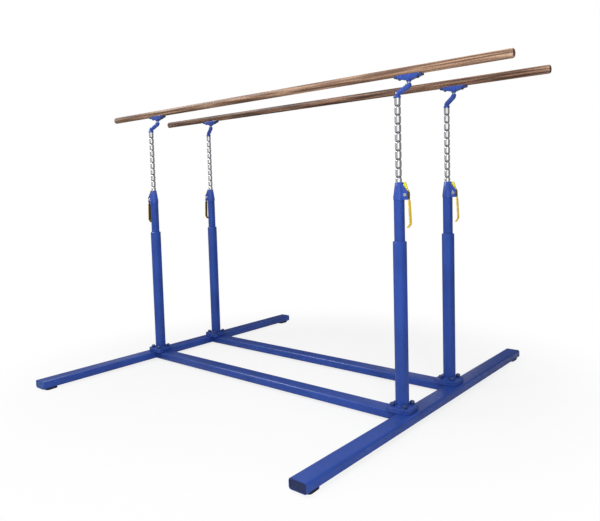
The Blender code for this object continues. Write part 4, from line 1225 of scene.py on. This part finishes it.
def laminated_wood(name, dark, middle, light, shift):
    """Glued strips with long grain, a pale band near the ends that is partly a painted highlight, and
    dark end faces.
    """
    material, tree, shader = new_material(name, middle, roughness=0.48, gloss=0.12)
    strips = add_noise(tree, scale=1.0, detail=4, stretch=STRIP_STRETCH, shift=shift)
    strip_tone = add_ramp(tree, strips, (0.40, dark), (0.5, middle), (0.60, light))
    grain = add_noise(tree, scale=3, detail=6, stretch=GRAIN_STRETCH)
    grain_tone = add_ramp(tree, grain, (0.35, GRAIN_DARK), (0.55, WHITE), (0.75, GRAIN_PALE))
    toned = add_mix(tree, "MULTIPLY", 0.75, strip_tone, grain_tone)
    along = add_coordinate(tree, "X")
    # Pale band near each nose: partly sanded wood, partly a painted highlight.
    end_share = spread(tree, add_math(tree, "ABSOLUTE", along), *WOOD_ENDS)
    toned = add_mix(tree, "MULTIPLY", 1.0, toned, add_ramp(tree, end_share, *END_STOPS))
    # Lighter towards +X: partly the wood's own drift, partly painted light that falls off towards -X.
    toned = dim(tree, toned, spread(tree, along, *WOOD_LENGTH, *WOOD_TONE_AND_LIGHT))
    wood_shine = spread(tree, grain, *NOISE_SPAN, 0.42, 0.6)
    feed(tree, shader, {"Base Color": toned, "Roughness": wood_shine})
    add_bump(tree, shader, grain, depth=0.0003, strength=0.35)
    return material


near_wood = laminated_wood(
    "near_rail_wood", (0.13, 0.070, 0.046), (0.25, 0.148, 0.098), (0.44, 0.278, 0.184), (0, 0, 0)
)
# The far rail is painted darker than the near one: painted shade.
far_wood = laminated_wood(
    "far_rail_wood", (0.060, 0.032, 0.024), (0.165, 0.094, 0.064), (0.32, 0.180, 0.112), (7, 3, 5)
)

for side, wood in {"near": near_wood, "far": far_wood}.items():
    rail_low, rail_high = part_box("rail_" + side)
    half_length = (rail_high.x - rail_low.x) / 2
    nose = []
    for degrees in range(0, 91, 15):
        angle = math.radians(degrees)
        nose_share = 1 - RAIL_NOSE * (1 - math.cos(angle)) / RAIL_MEAN_RADIUS
        nose.append((nose_share, half_length - RAIL_NOSE * (1 - math.sin(angle))))
    rail_rings = [(share, -length) for share, length in reversed(nose)]
    rail_rings += [(1, length) for length in RAIL_MID_RINGS]
    rail_rings += nose
    rail = add_turned("laminated_rail_" + side, rail_rings, 56)
    shade(rail, degrees=50)
    rail.data.transform(
        Matrix.Translation((rail_low + rail_high) / 2)
        @ Matrix.Rotation(math.pi / 2, 4, "Y")
        @ Matrix.Diagonal((RAIL_HEIGHT / 2, RAIL_WIDTH / 2, 1, 1))
    )
    dress(rail, f"saddle_{side}_left_body", "wood", wood, "rail_" + side)

bpy.context.view_layer.update()
